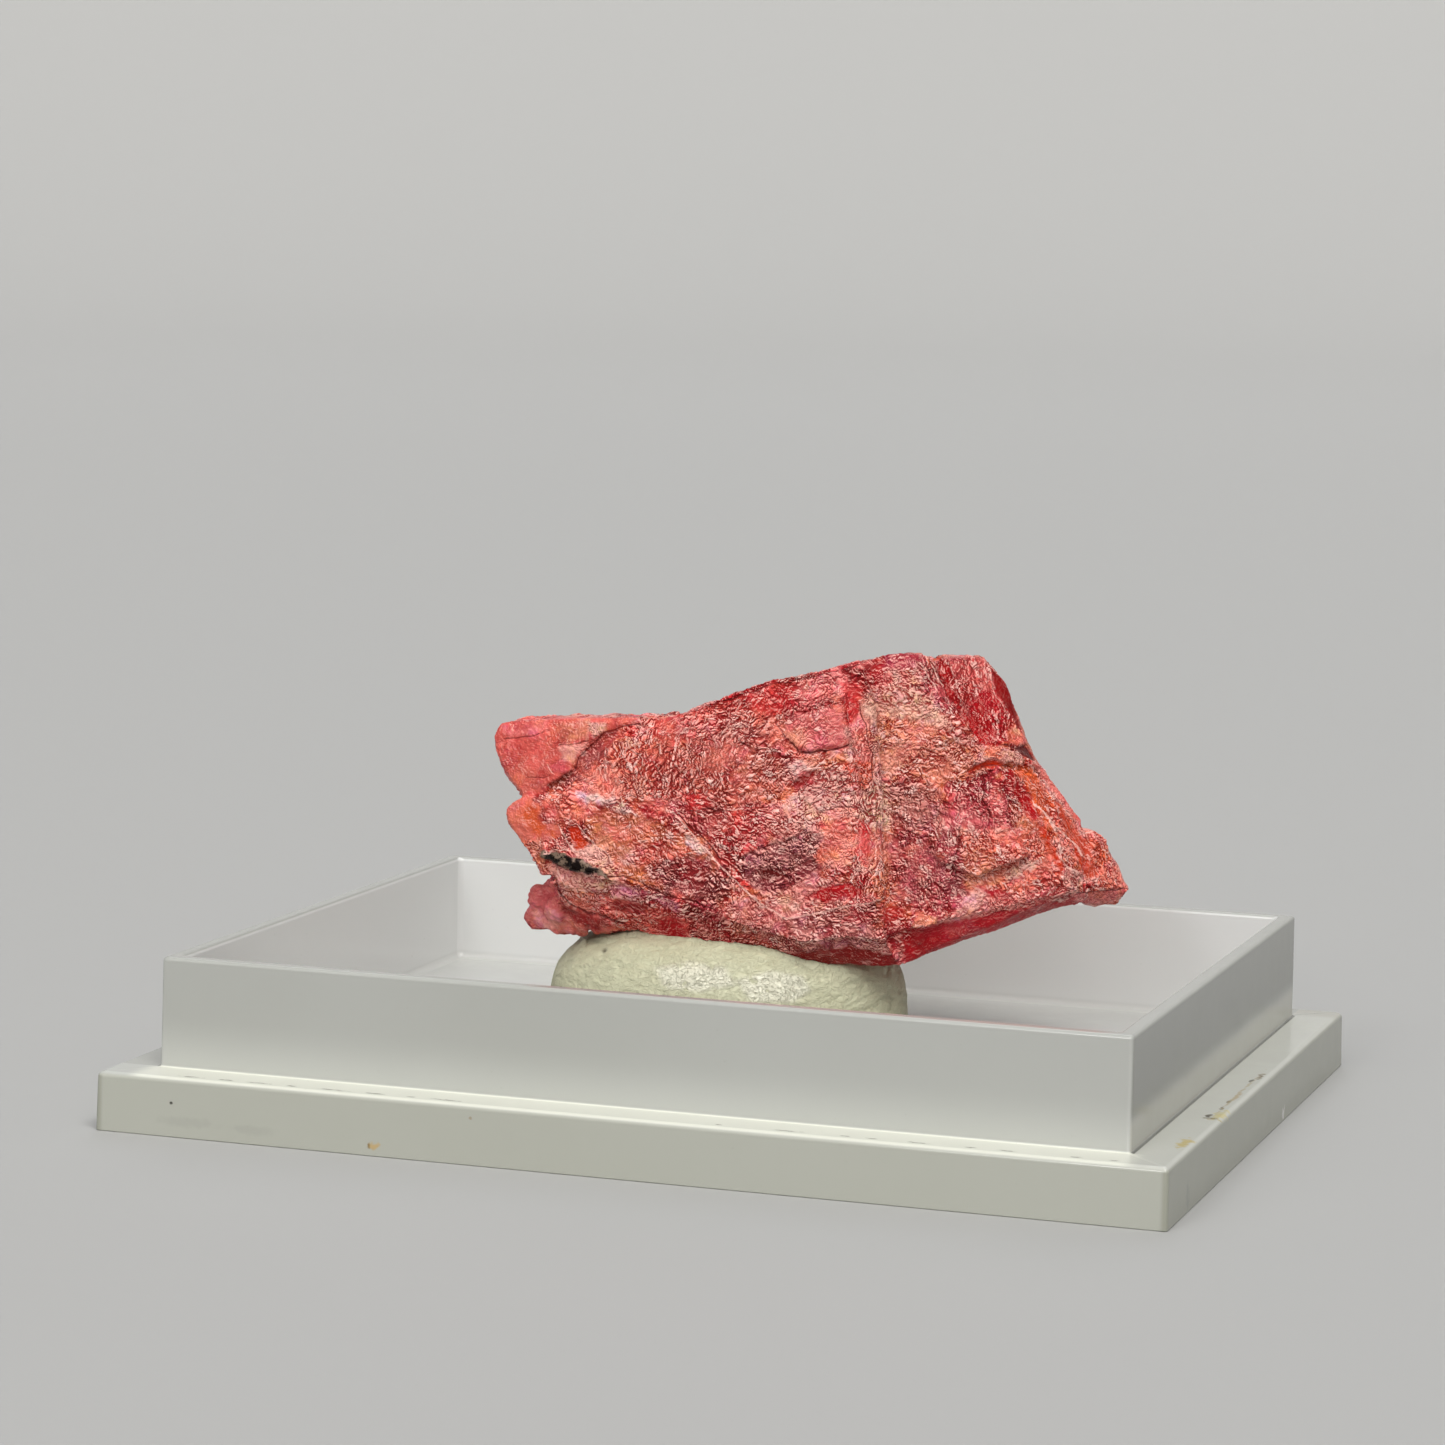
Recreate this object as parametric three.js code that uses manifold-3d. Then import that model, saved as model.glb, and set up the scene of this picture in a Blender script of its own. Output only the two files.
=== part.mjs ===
// A rhodonite cleavage fragment on a lump of mineral tack, standing in the base of a specimen box.
// Millimetres, +Z up. The origin is the centre of the foot's underside; +X runs along the box's long
// side and -Y is the side from which the stone is shown.

import * as THREE from 'three';
import { ConvexGeometry } from 'three/addons/geometries/ConvexGeometry.js';
import { mergeVertices } from 'three/addons/utils/BufferGeometryUtils.js';
import Module from 'manifold-3d';

const wasm = await Module();
wasm.setup();

// ---- Driving dimensions -------------------------------------------------------------------------

const FOOT_LENGTH = 60;          // box base, outside, at the foot
const FOOT_WIDTH = 48;
const FOOT_HEIGHT = 3.3;         // top of the ledge
const FOOT_EDGE_RADIUS = 0.4;    // rounding along the top of the foot
const FOOT_CORNER_RADIUS = 0.5;
const SKIRT_THICKNESS = 1.2;     // the foot is hollow underneath
const FLOOR_TOP = 3.0;           // tray floor
const FLOOR_THICKNESS = 1.0;
const LEDGE_INSET = 2.62;        // from the foot's side to the wall
const WALL_THICKNESS = 0.94;
const WALL_TOP = 9.42;
const WALL_DRAFT = 0.06;         // each wall face leans in by this much
const RIM_RADIUS = 0.22;
const FLOOR_FILLET = 0.4;

const STONE_TURN = THREE.MathUtils.degToRad(18.2);   // the stone's broad face to the box's long side
const SEAT_GAP = 0.3;            // between the stone and the tack pressed round it

const TACK_CENTRE = [-1.3, -0.4];
const TACK_RADIUS = [10.3, 8.4]; // along and across the stone's broad face
const TACK_TOP = 10.1;

// ---- Solids -------------------------------------------------------------------------------------

// A closed three.js geometry as a manifold-3d solid.
function solid(geometry) {
  const bare = new THREE.BufferGeometry();
  bare.setAttribute('position', geometry.getAttribute('position').clone());
  if (geometry.index) bare.setIndex(geometry.index.clone());
  const welded = mergeVertices(bare, 1e-5);
  return new wasm.Manifold(new wasm.Mesh({
    numProp: 3,
    vertProperties: new Float32Array(welded.getAttribute('position').array),
    triVerts: new Uint32Array(welded.index.array),
  }));
}

// A manifold-3d solid as a three.js geometry.
function geometryOf(body) {
  const mesh = body.getMesh();
  const geometry = new THREE.BufferGeometry();
  geometry.setAttribute('position', new THREE.BufferAttribute(new Float32Array(mesh.vertProperties), 3));
  geometry.setIndex(new THREE.BufferAttribute(new Uint32Array(mesh.triVerts), 1));
  return geometry;
}

function joined(bodies) {
  return bodies.reduce((sum, body) => sum.add(body));
}

// The convex block with these corners.
function block(corners) {
  return solid(new ConvexGeometry(corners.map((corner) => new THREE.Vector3(...corner))));
}

// The same block made larger by at least gap on every side.
function grownBlock(corners, gap) {
  const grown = [];
  for (const [x, y, z] of corners) {
    for (const sx of [-gap, gap]) {
      for (const sy of [-gap, gap]) {
        for (const sz of [-gap, gap]) grown.push([x + sx, y + sy, z + sz]);
      }
    }
  }
  return block(grown);
}

function finishedMesh(name, geometry, color, roughness) {
  const faceted = geometry.toNonIndexed();
  faceted.computeVertexNormals();
  const mesh = new THREE.Mesh(faceted, new THREE.MeshStandardMaterial({ color, roughness, metalness: 0 }));
  mesh.name = name;
  return mesh;
}

// ---- Box base -----------------------------------------------------------------------------------

// One profile goes round the rectangle: from the centre of the underside, out under the foot, up its
// side, over the ledge and the wall, and in over the tray floor to the centre. Each point of it is
// [inset from the foot's side, height, corner radius].
function arcPoints(inset, height, radius, fromDeg, toDeg, corner) {
  const steps = 4;
  const points = [];
  for (let i = 0; i <= steps; i++) {
    const angle = THREE.MathUtils.degToRad(fromDeg + (toDeg - fromDeg) * i / steps);
    points.push([inset - radius * Math.cos(angle), height + radius * Math.sin(angle), corner]);
  }
  return points;
}

function boxProfile() {
  const wallOut = LEDGE_INSET;
  const wallIn = LEDGE_INSET + WALL_DRAFT + WALL_THICKNESS;
  const rimHeight = WALL_TOP - RIM_RADIUS;
  const wallCorner = 0.45;
  const trayCorner = 0.35;
  const rootFillet = 0.12;
  return [
    [SKIRT_THICKNESS + 0.3, FLOOR_TOP - FLOOR_THICKNESS, 0.3],
    [SKIRT_THICKNESS, FLOOR_TOP - FLOOR_THICKNESS - 0.3, 0.3],
    [SKIRT_THICKNESS - 0.06, 0, 0.3],
    [0.08, 0, FOOT_CORNER_RADIUS],
    [0, 0.08, FOOT_CORNER_RADIUS],
    ...arcPoints(WALL_DRAFT + FOOT_EDGE_RADIUS, FOOT_HEIGHT - FOOT_EDGE_RADIUS, FOOT_EDGE_RADIUS, 0, 90,
      FOOT_CORNER_RADIUS),
    [wallOut - rootFillet, FOOT_HEIGHT, wallCorner],
    [wallOut, FOOT_HEIGHT + rootFillet, wallCorner],
    ...arcPoints(wallOut + WALL_DRAFT + RIM_RADIUS, rimHeight, RIM_RADIUS, 0, 90, wallCorner),
    ...arcPoints(wallIn - RIM_RADIUS, rimHeight, RIM_RADIUS, 90, 180, trayCorner),
    ...arcPoints(wallIn + WALL_DRAFT + FLOOR_FILLET, FLOOR_TOP + FLOOR_FILLET, FLOOR_FILLET, 0, -90,
      trayCorner),
  ];
}

// A rounded rectangle, as far in from the foot's side as inset says.
function boxLoop([inset, height, corner]) {
  const cornerSteps = 3;
  const x = FOOT_LENGTH / 2 - inset - corner;
  const y = FOOT_WIDTH / 2 - inset - corner;
  const points = [];
  [[x, y], [-x, y], [-x, -y], [x, -y]].forEach(([cx, cy], quarter) => {
    for (let i = 0; i <= cornerSteps; i++) {
      const angle = (quarter + i / cornerSteps) * Math.PI / 2;
      points.push([cx + corner * Math.cos(angle), cy + corner * Math.sin(angle), height]);
    }
  });
  return points;
}

function boxBaseGeometry() {
  const loops = boxProfile().map(boxLoop);
  const count = loops[0].length;
  const positions = loops.flat(2);
  const index = [];
  for (let ring = 0; ring + 1 < loops.length; ring++) {
    for (let i = 0; i < count; i++) {
      const a = ring * count + i;
      const b = ring * count + (i + 1) % count;
      index.push(a, b, b + count, a, b + count, a + count);
    }
  }
  const last = (loops.length - 1) * count;
  for (let i = 1; i + 1 < count; i++) {
    index.push(0, i + 1, i);
    index.push(last, last + i, last + i + 1);
  }
  const geometry = new THREE.BufferGeometry();
  geometry.setAttribute('position', new THREE.Float32BufferAttribute(positions, 3));
  geometry.setIndex(index);
  return geometryOf(solid(geometry));
}

// ---- Stone --------------------------------------------------------------------------------------

// The fragment is a stack of cleavage blocks, each the convex solid of its corners: those of its front
// face first, then those of its back. Corners are [x along the broad face, y into the stone, z up], in
// the stone's own frame.

const LEFT_FACE = [
  [-5.0, -4.6, 22.5], [-2.0, -4.9, 23.8], [0.5, -5.2, 24.7], [5.6, -5.8, 25.9], [6.4, -6.2, 23.9],
  [7.0, -6.7, 18.3], [7.3, -7.2, 10.6], [2.5, -7.1, 10.5], [-2.3, -6.2, 11.7], [-8.5, -4.9, 13.2],
  [-11.8, -4.1, 14.6], [-11.2, -4.2, 17.8], [-8.9, -4.4, 20.8],
  [-4.0, 5.0, 21.4], [5.4, 5.8, 23.6], [7.4, 6.8, 10.5], [0.4, 6.0, 9.2], [-8.5, 4.8, 12.0],
  [-11.4, 3.6, 16.5], [-9.0, 4.0, 19.6],
];
const RIGHT_FACE = [
  [4.7, -4.6, 25.5], [7.4, -4.6, 26.4], [9.1, -4.5, 26.4], [9.7, -4.6, 26.0], [11.2, -4.8, 24.1],
  [12.6, -5.0, 21.6], [13.5, -4.9, 20.4], [14.7, -4.8, 18.3], [16.5, -4.5, 15.4], [18.1, -4.1, 13.0],
  [13.7, -5.2, 12.4], [7.3, -6.6, 10.7], [6.3, -5.8, 23.8], [5.9, -5.5, 24.9],
  [5.3, 5.2, 24.2], [10.0, 4.6, 25.0], [14.1, 4.3, 19.8], [17.2, 3.4, 12.6], [8.6, 6.0, 9.0],
];
const UPPER_SLAB = [
  [-14.9, -3.2, 21.0], [-14.6, -3.0, 21.7], [-13.5, -3.0, 22.0], [-11.3, -3.3, 22.2], [-9.7, -3.6, 22.4],
  [-6.8, -3.9, 22.4], [-4.5, -4.3, 22.7], [-3.9, -4.4, 20.0], [-6.7, -4.0, 18.3], [-11.2, -3.4, 17.7],
  [-13.3, -3.1, 17.6], [-14.2, -3.1, 18.8], [-14.4, -3.1, 19.4], [-14.8, -3.2, 20.2],
  [-14.9, 2.6, 20.6], [-13.6, 3.2, 17.4], [-9.2, 4.0, 17.1], [-13.3, 3.0, 21.5], [-5.2, 4.6, 21.8],
];
const LOWER_LOBE = [
  [-14.3, -3.3, 16.9], [-13.9, -3.2, 17.3], [-13.3, -3.3, 17.6], [-10.1, -4.1, 17.8], [-6.7, -4.5, 17.7],
  [-6.6, -5.0, 13.0], [-8.5, -4.6, 13.0], [-12.0, -3.6, 13.1], [-12.6, -3.5, 13.8], [-13.1, -3.5, 15.0],
  [-14.1, -3.4, 16.3],
  [-13.8, 2.4, 16.0], [-12.4, 2.8, 13.2], [-9.1, 4.0, 16.2], [-7.9, 4.0, 12.4],
];
const KEEL = [
  [-11.8, -3.8, 12.9], [-8.5, -4.7, 13.4], [-2.3, -6.1, 12.0], [2.5, -7.0, 10.7], [7.3, -7.1, 10.8],
  [-11.3, -3.0, 11.4], [-8.8, -2.6, 10.1], [-6.8, -3.0, 10.1], [-5.4, -3.4, 9.8], [-4.2, -3.9, 9.6],
  [-1.9, -4.6, 9.4], [0.2, -5.2, 9.2], [2.1, -5.6, 9.0], [5.9, -5.8, 8.9], [8.3, -6.0, 9.2],
  [-9.5, 2.6, 11.0], [-3.2, 4.8, 8.9], [7.5, 5.6, 8.2],
];
const RIGHT_KEEL = [
  [7.3, -6.5, 11.2], [13.7, -5.1, 12.6], [18.1, -4.0, 13.1],
  [8.4, -5.6, 9.1], [9.9, -5.0, 9.5], [12.1, -4.2, 10.2], [14.1, -3.4, 10.9], [16.2, -2.7, 11.6],
  [17.9, -2.4, 12.2], [19.2, -2.2, 12.4], [6.4, -6.4, 10.4], [6.6, -5.4, 9.1],
  [8.0, 5.4, 8.8], [17.2, 3.0, 12.2], [9.0, 5.0, 12.0],
];
const CREST = [
  [9.9, -3.7, 26.1], [10.3, -3.7, 26.1], [12.1, -3.3, 26.2], [12.7, -3.0, 25.9], [13.0, -2.9, 25.5],
  [13.8, -2.7, 24.6], [14.4, -2.6, 23.2], [14.9, -2.5, 21.9], [15.2, -2.5, 21.2], [13.6, -3.9, 20.8],
  [12.7, -4.2, 21.6], [10.6, -4.0, 24.3],
  [10.2, 4.2, 25.2], [12.8, 3.4, 25.0], [14.5, 3.2, 21.2], [14.9, 2.8, 20.6],
];
const SHELF = [
  [11.1, -5.2, 21.5], [12.6, -5.0, 21.7], [14.1, -4.2, 21.5], [14.9, -3.6, 20.9], [15.5, -3.3, 20.4],
  [16.0, -2.9, 19.9], [14.2, -4.6, 20.3], [12.1, -5.3, 20.2],
  [15.2, -2.4, 21.2], [15.7, -2.2, 20.3],
  [12.0, 2.0, 21.4], [15.4, 2.2, 19.8], [12.0, 2.0, 20.0],
];
const RIGHT_EDGE = [
  [13.5, -4.9, 20.4], [16.0, -2.4, 19.9], [17.3, -2.0, 18.2], [18.5, -1.5, 16.8], [18.6, -1.4, 16.2],
  [19.0, -2.6, 12.6], [18.1, -4.1, 12.9], [16.5, -4.5, 15.4], [14.7, -4.8, 18.3],
  [15.3, 3.6, 19.0], [18.2, 2.8, 16.0], [18.9, 2.3, 12.3],
];
const TIP = [
  [18.4, -1.6, 16.2], [19.5, -1.2, 16.0], [20.0, -0.9, 15.6], [20.2, -1.0, 14.6], [20.9, -0.8, 13.3],
  [21.4, -0.5, 12.6], [20.8, -0.3, 11.8], [19.4, -1.0, 11.8], [17.9, -2.4, 12.2], [18.6, -3.0, 13.2],
  [19.7, 1.8, 15.0], [20.8, 1.2, 12.6], [19.0, 2.0, 12.0], [18.0, 1.6, 15.8],
];

// The black inclusion, in the crack under the left face.
const INCLUSION = [
  [-12.3, -3.9, 14.8], [-11.6, -4.3, 14.9], [-9.8, -4.8, 14.2], [-8.4, -5.1, 13.5], [-8.4, -5.1, 13.1],
  [-10.4, -4.6, 13.6], [-12.2, -3.9, 14.3],
  [-11.6, -2.4, 14.4], [-8.8, -2.8, 13.2],
];

// Planes of the broad faces, each through three points.
const LEFT_PLANE = [[-5.0, -4.6, 22.5], [5.6, -5.8, 25.9], [7.3, -7.2, 10.6]];
const RIGHT_PLANE = [[5.9, -5.5, 24.9], [13.7, -5.0, 20.0], [7.3, -6.6, 10.7]];
const EDGE_PLANE = [[13.5, -4.9, 20.4], [18.1, -4.1, 12.9], [18.5, -1.5, 16.8]];
const BACK_LEFT_PLANE = [[-9.0, 4.0, 19.6], [5.4, 5.8, 23.6], [0.4, 6.0, 9.2]];
const BACK_RIGHT_PLANE = [[5.3, 5.2, 24.2], [14.1, 4.3, 19.8], [8.6, 6.0, 9.0]];

// Plates left standing on those planes by cleavage steps: how far each rises and its outline [x, z].
const PLATE_ROOT = 1.2;          // how deep a plate starts inside the stone
const PLATE_SPREAD = 1.12;       // how much wider it is there
const PLATES = [
  { plane: LEFT_PLANE, rise: 0.3, outline: [[1.4, 23.6], [4.6, 24.4], [5.0, 21.3], [2.3, 20.9],
    [1.3, 21.6]] },
  { plane: LEFT_PLANE, rise: 0.45, outline: [[4.7, 24.3], [6.1, 24.5], [6.4, 23.2], [6.4, 18.9], [5.8, 18.7],
    [5.1, 21.6]] },
  { plane: LEFT_PLANE, rise: 0.3, outline: [[5.1, 18.2], [6.5, 18.6], [7.2, 13.0], [6.2, 12.2],
    [5.4, 13.4]] },
  { plane: LEFT_PLANE, rise: 0.2, outline: [[-5.2, 17.6], [-3.6, 18.6], [1.4, 17.4], [3.2, 14.8], [0.4, 11.6],
    [-1.0, 12.4]] },
  { plane: LEFT_PLANE, rise: 0.3, outline: [[-8.4, 20.2], [-6.8, 21.2], [-4.4, 22.0], [-1.0, 22.2],
    [-3.4, 19.6], [-8.2, 18.6]] },
  { plane: RIGHT_PLANE, rise: 0.2, outline: [[7.0, 24.4], [9.0, 25.0], [10.4, 23.4], [11.2, 21.8],
    [8.4, 20.6], [6.9, 21.2]] },
  { plane: RIGHT_PLANE, rise: 0.25, outline: [[9.0, 17.8], [11.4, 19.0], [13.8, 18.0], [15.2, 15.2],
    [12.4, 14.0], [10.2, 14.8]] },
  { plane: RIGHT_PLANE, rise: 0.2, outline: [[8.5, 11.7], [10.2, 11.8], [10.1, 11.2], [8.4, 11.0]] },
  { plane: EDGE_PLANE, rise: 0.3, outline: [[14.2, 19.9], [15.0, 19.7], [18.1, 14.6], [18.0, 13.6],
    [16.4, 15.8]] },
  { plane: EDGE_PLANE, rise: 0.25, outline: [[16.6, 18.4], [17.2, 18.0], [18.7, 15.0], [18.6, 13.8],
    [17.6, 15.4]] },
  { plane: BACK_LEFT_PLANE, rise: 0.6, outline: [[-7.6, 19.8], [-2.0, 21.4], [2.8, 21.0], [0.6, 16.6],
    [-5.6, 14.8], [-8.4, 16.4]] },
  { plane: BACK_LEFT_PLANE, rise: 1.2, outline: [[-4.4, 19.6], [1.6, 20.6], [4.4, 18.4], [2.4, 15.6],
    [-2.6, 16.2]] },
  { plane: BACK_LEFT_PLANE, rise: 0.8, outline: [[-1.0, 15.6], [5.6, 16.8], [6.8, 12.6], [2.0, 10.6],
    [-3.0, 11.6]] },
  { plane: BACK_LEFT_PLANE, rise: 0.35, outline: [[-8.8, 15.4], [-4.0, 14.2], [-2.6, 11.2], [-6.4, 11.6]] },
  { plane: BACK_RIGHT_PLANE, rise: 0.5, outline: [[6.2, 22.8], [9.4, 24.0], [13.0, 20.4], [12.0, 15.6],
    [7.4, 16.2], [5.6, 19.2]] },
  { plane: BACK_RIGHT_PLANE, rise: 1.0, outline: [[8.2, 21.6], [10.6, 20.8], [13.6, 16.6], [11.4, 14.2],
    [8.0, 17.4]] },
  { plane: BACK_RIGHT_PLANE, rise: 0.6, outline: [[8.8, 15.0], [14.8, 16.4], [16.2, 13.4], [10.6, 10.6],
    [7.6, 11.8]] },
];

// Small round bumps grown together low on the stone's left: [x, y, z, radius].
const BUMPS = [
  [-12.2, -0.9, 11.4, 0.9], [-12.35, -0.6, 10.4, 0.85], [-11.3, -0.9, 10.15, 0.85],
  [-10.3, -1.2, 10.05, 0.8], [-11.3, -1.8, 11.0, 0.85], [-10.0, -2.0, 10.7, 0.8],
  [-11.6, 0.6, 10.8, 1.1], [-10.4, 0.8, 10.6, 1.1], [-10.9, -0.4, 11.6, 1.3],
];
const BUMP_ROOT = [
  [-12.2, -1.0, 11.8], [-12.0, 0.4, 11.2], [-10.5, -1.9, 10.4], [-9.0, -2.0, 12.6], [-9.0, 1.2, 12.4],
  [-9.6, 0.6, 10.8], [-11.6, -2.4, 12.9],
];

// The y of a plane through three points, at x and z.
function planeY([a, b, c], x, z) {
  const normal = new THREE.Vector3(...b).sub(new THREE.Vector3(...a))
    .cross(new THREE.Vector3(...c).sub(new THREE.Vector3(...a)));
  return a[1] - (normal.x * (x - a[0]) + normal.z * (z - a[2])) / normal.y;
}

function plateCorners({ plane, rise, outline }) {
  const outward = Math.sign(plane[0][1]);
  const middleX = outline.reduce((sum, corner) => sum + corner[0], 0) / outline.length;
  const middleZ = outline.reduce((sum, corner) => sum + corner[1], 0) / outline.length;
  const corners = [];
  for (const [x, z] of outline) {
    const rootX = middleX + (x - middleX) * PLATE_SPREAD;
    const rootZ = middleZ + (z - middleZ) * PLATE_SPREAD;
    corners.push([x, planeY(plane, x, z) + outward * rise, z]);
    corners.push([rootX, planeY(plane, rootX, rootZ) - outward * PLATE_ROOT, rootZ]);
  }
  return corners;
}

function bump([x, y, z, radius], gap = 0) {
  return solid(new THREE.IcosahedronGeometry(radius + gap, 2).translate(x, y, z));
}

const STONE_BLOCKS = [
  LEFT_FACE, RIGHT_FACE, UPPER_SLAB, LOWER_LOBE, KEEL, RIGHT_KEEL, CREST, SHELF, RIGHT_EDGE, TIP,
  INCLUSION, BUMP_ROOT, ...PLATES.map(plateCorners),
];

function stoneBody() {
  return joined([...STONE_BLOCKS.map(block), ...BUMPS.map((bumpSize) => bump(bumpSize))]);
}

// The space that the stone needs, with a gap all round it.
function stoneSeat() {
  const blocks = STONE_BLOCKS.map((corners) => grownBlock(corners, SEAT_GAP));
  return joined([...blocks, ...BUMPS.map((bumpSize) => bump(bumpSize, SEAT_GAP))]);
}

// ---- Tack ---------------------------------------------------------------------------------------

// Half of the lump's outline, as fractions of its radius and of its height.
const TACK_OUTLINE = [[0, 0], [0.9, 0], [0.97, 0.1], [1, 0.3], [0.995, 0.5], [0.96, 0.66], [0.89, 0.79],
  [0.77, 0.9], [0.6, 0.97], [0.35, 1], [0, 1]];

function tackBody() {
  const height = TACK_TOP - FLOOR_TOP;
  const profile = TACK_OUTLINE.map(([across, up]) => new THREE.Vector2(across, up * height));
  const lump = new THREE.LatheGeometry(profile, 48);
  lump.rotateX(Math.PI / 2);
  lump.scale(TACK_RADIUS[0], TACK_RADIUS[1], 1);
  lump.rotateZ(STONE_TURN);
  lump.translate(TACK_CENTRE[0], TACK_CENTRE[1], FLOOR_TOP);
  const seat = solid(geometryOf(stoneSeat()).rotateZ(STONE_TURN));
  return solid(lump).subtract(seat);
}

// ---- Assembly -----------------------------------------------------------------------------------

const specimen = new THREE.Group();
specimen.add(finishedMesh('box_base', boxBaseGeometry(), '#c9cac2', 0.3));
specimen.add(finishedMesh('mineral_tack', geometryOf(tackBody()), '#c9c6a6', 0.6));

const stone = new THREE.Group();
stone.rotation.z = STONE_TURN;
stone.add(finishedMesh('rhodonite', geometryOf(stoneBody()), '#c4565a', 0.5));
specimen.add(stone);

export default specimen;
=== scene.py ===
import itertools
import math

import bpy
import numpy as np
from mathutils import Matrix, Vector
from mathutils.bvhtree import BVHTree


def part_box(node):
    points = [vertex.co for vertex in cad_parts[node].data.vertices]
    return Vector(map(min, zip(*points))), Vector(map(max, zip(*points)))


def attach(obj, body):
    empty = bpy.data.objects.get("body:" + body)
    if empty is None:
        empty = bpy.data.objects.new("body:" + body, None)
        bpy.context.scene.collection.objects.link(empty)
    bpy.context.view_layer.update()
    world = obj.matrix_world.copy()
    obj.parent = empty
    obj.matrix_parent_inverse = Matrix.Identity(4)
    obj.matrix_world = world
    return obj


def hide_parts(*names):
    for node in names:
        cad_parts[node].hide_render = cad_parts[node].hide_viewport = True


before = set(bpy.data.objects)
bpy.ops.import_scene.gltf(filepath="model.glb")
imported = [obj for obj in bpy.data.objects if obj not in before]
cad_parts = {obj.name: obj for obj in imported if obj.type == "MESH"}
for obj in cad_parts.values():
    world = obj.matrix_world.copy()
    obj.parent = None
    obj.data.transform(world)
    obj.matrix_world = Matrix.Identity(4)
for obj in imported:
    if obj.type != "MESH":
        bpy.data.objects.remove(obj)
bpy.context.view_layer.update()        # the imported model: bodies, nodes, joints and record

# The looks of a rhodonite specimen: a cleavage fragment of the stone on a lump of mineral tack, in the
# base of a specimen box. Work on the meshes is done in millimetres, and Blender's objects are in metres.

MM = 0.001
UP = np.array([0.0, 0.0, 1.0])

# ---- The photographed view ----------------------------------------------------------------------

PHOTO_SIZE = 1445                # pixels, both ways
SENSOR_WIDTH = 36.0
CAMERA_LENS = 110.83
CAMERA_PLACE = (0.07717, -0.24090, 0.05148)
CAMERA_AZIMUTH = math.radians(18.241)
CAMERA_ELEVATION = math.radians(6.714)
CAMERA_ROLL = math.radians(1.286)

# ---- Sizes that the looks share with the solids, in millimetres ---------------------------------

FOOT_LENGTH = 60.0
FOOT_WIDTH = 48.0
FOOT_HEIGHT = 3.3
FOOT_EDGE_RADIUS = 0.32
FOOT_CORNER_RADIUS = 0.2
SKIRT_THICKNESS = 1.2
FLOOR_TOP = 3.0
FLOOR_THICKNESS = 1.0
LEDGE_INSET = 2.62
WALL_THICKNESS = 0.94
WALL_TOP = 9.42
WALL_DRAFT = 0.06
RIM_RADIUS = 0.22
FLOOR_FILLET = 0.4

STONE_TURN = math.radians(18.2)  # the stone's broad face to the box's long side
STONE_CELL = 0.12                # size of a face of the stone's mesh, before it is thinned
STONE_TRIANGLES = 198000

TACK_CENTRE = (-1.3, -0.4)
TACK_RADIUS = (10.3, 8.4)        # along and across the stone's broad face
TACK_TOP = 10.1


# ---- Numbers and noise --------------------------------------------------------------------------

def smoothstep(low, high, value):
    share = np.clip((value - low) / (high - low), 0.0, 1.0)
    return share * share * (3.0 - 2.0 * share)


def unit(vectors):
    return vectors / np.maximum(np.linalg.norm(vectors, axis=-1, keepdims=True), 1e-9)


def linear(colour):
    """A colour written #rrggbb, as linear red, green and blue."""
    parts = np.array([int(colour[i:i + 2], 16) / 255.0 for i in (1, 3, 5)])
    return np.where(parts <= 0.04045, parts / 12.92, ((parts + 0.055) / 1.055) ** 2.4)


def shade(colour):
    """A colour written #rrggbb, as a colour socket takes it."""
    return (*linear(colour), 1.0)


class Noise:
    """Gradient noise, about -1 to 1, with cells one unit wide."""

    def __init__(self, seed):
        random = np.random.default_rng(seed)
        self.order = random.permutation(256)
        self.slopes = unit(random.normal(size=(256, 3)))

    def __call__(self, places):
        cell = np.floor(places).astype(int)
        inside = places - cell
        fade = inside ** 3 * (inside * (inside * 6.0 - 15.0) + 10.0)
        total = np.zeros(len(places))
        for corner in itertools.product((0, 1), repeat=3):
            index = (cell + corner) & 255
            key = self.order[index[:, 0]]
            key = self.order[(key + index[:, 1]) & 255]
            key = self.order[(key + index[:, 2]) & 255]
            share = np.prod(np.where(corner, fade, 1.0 - fade), axis=1)
            total += share * np.sum(self.slopes[key] * (inside - corner), axis=1)
        return total * 1.5

    def fractal(self, places, octaves, gain=0.5):
        total = np.zeros(len(places))
        size = 1.0
        for _ in range(octaves):
            total += size * self(places)
            places = places * 2.03 + 17.1
            size *= gain
        return total


# ---- Meshes -------------------------------------------------------------------------------------

def new_object(name, mesh):
    piece = bpy.data.objects.new(name, mesh)
    bpy.context.scene.collection.objects.link(piece)
    return piece


def read(rows, field, width=3, kind=np.float32):
    """One field of a mesh's vertices, edges, normals or attribute, as rows of numbers."""
    values = np.zeros(len(rows) * width, kind)
    rows.foreach_get(field, values)
    return values.reshape(-1, width)


def points_of(mesh):
    return read(mesh.vertices, "co").astype(float)


def set_points(mesh, points):
    mesh.vertices.foreach_set("co", points.astype(np.float32).ravel())
    mesh.update()


def normals_of(mesh):
    return read(mesh.vertex_normals, "vector").astype(float)


def add_values(mesh, name, values, domain="POINT"):
    """Keeps one number or one vector for each vertex or face, for the material to read."""
    values = np.asarray(values, np.float32)
    kind, field = ("FLOAT", "value") if values.ndim == 1 else ("FLOAT_VECTOR", "vector")
    attribute = mesh.attributes.new(name, kind, domain)
    attribute.data.foreach_set(field, values.ravel())


def given_to_faces(mesh, name):
    """Gives each face the whole vector of its first vertex, so that it doesn't blend across faces."""
    vectors = read(mesh.attributes[name].data, "vector")
    first = [face.vertices[0] for face in mesh.polygons]
    mesh.attributes.remove(mesh.attributes[name])
    add_values(mesh, name, unit(vectors[first]), "FACE")


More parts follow.
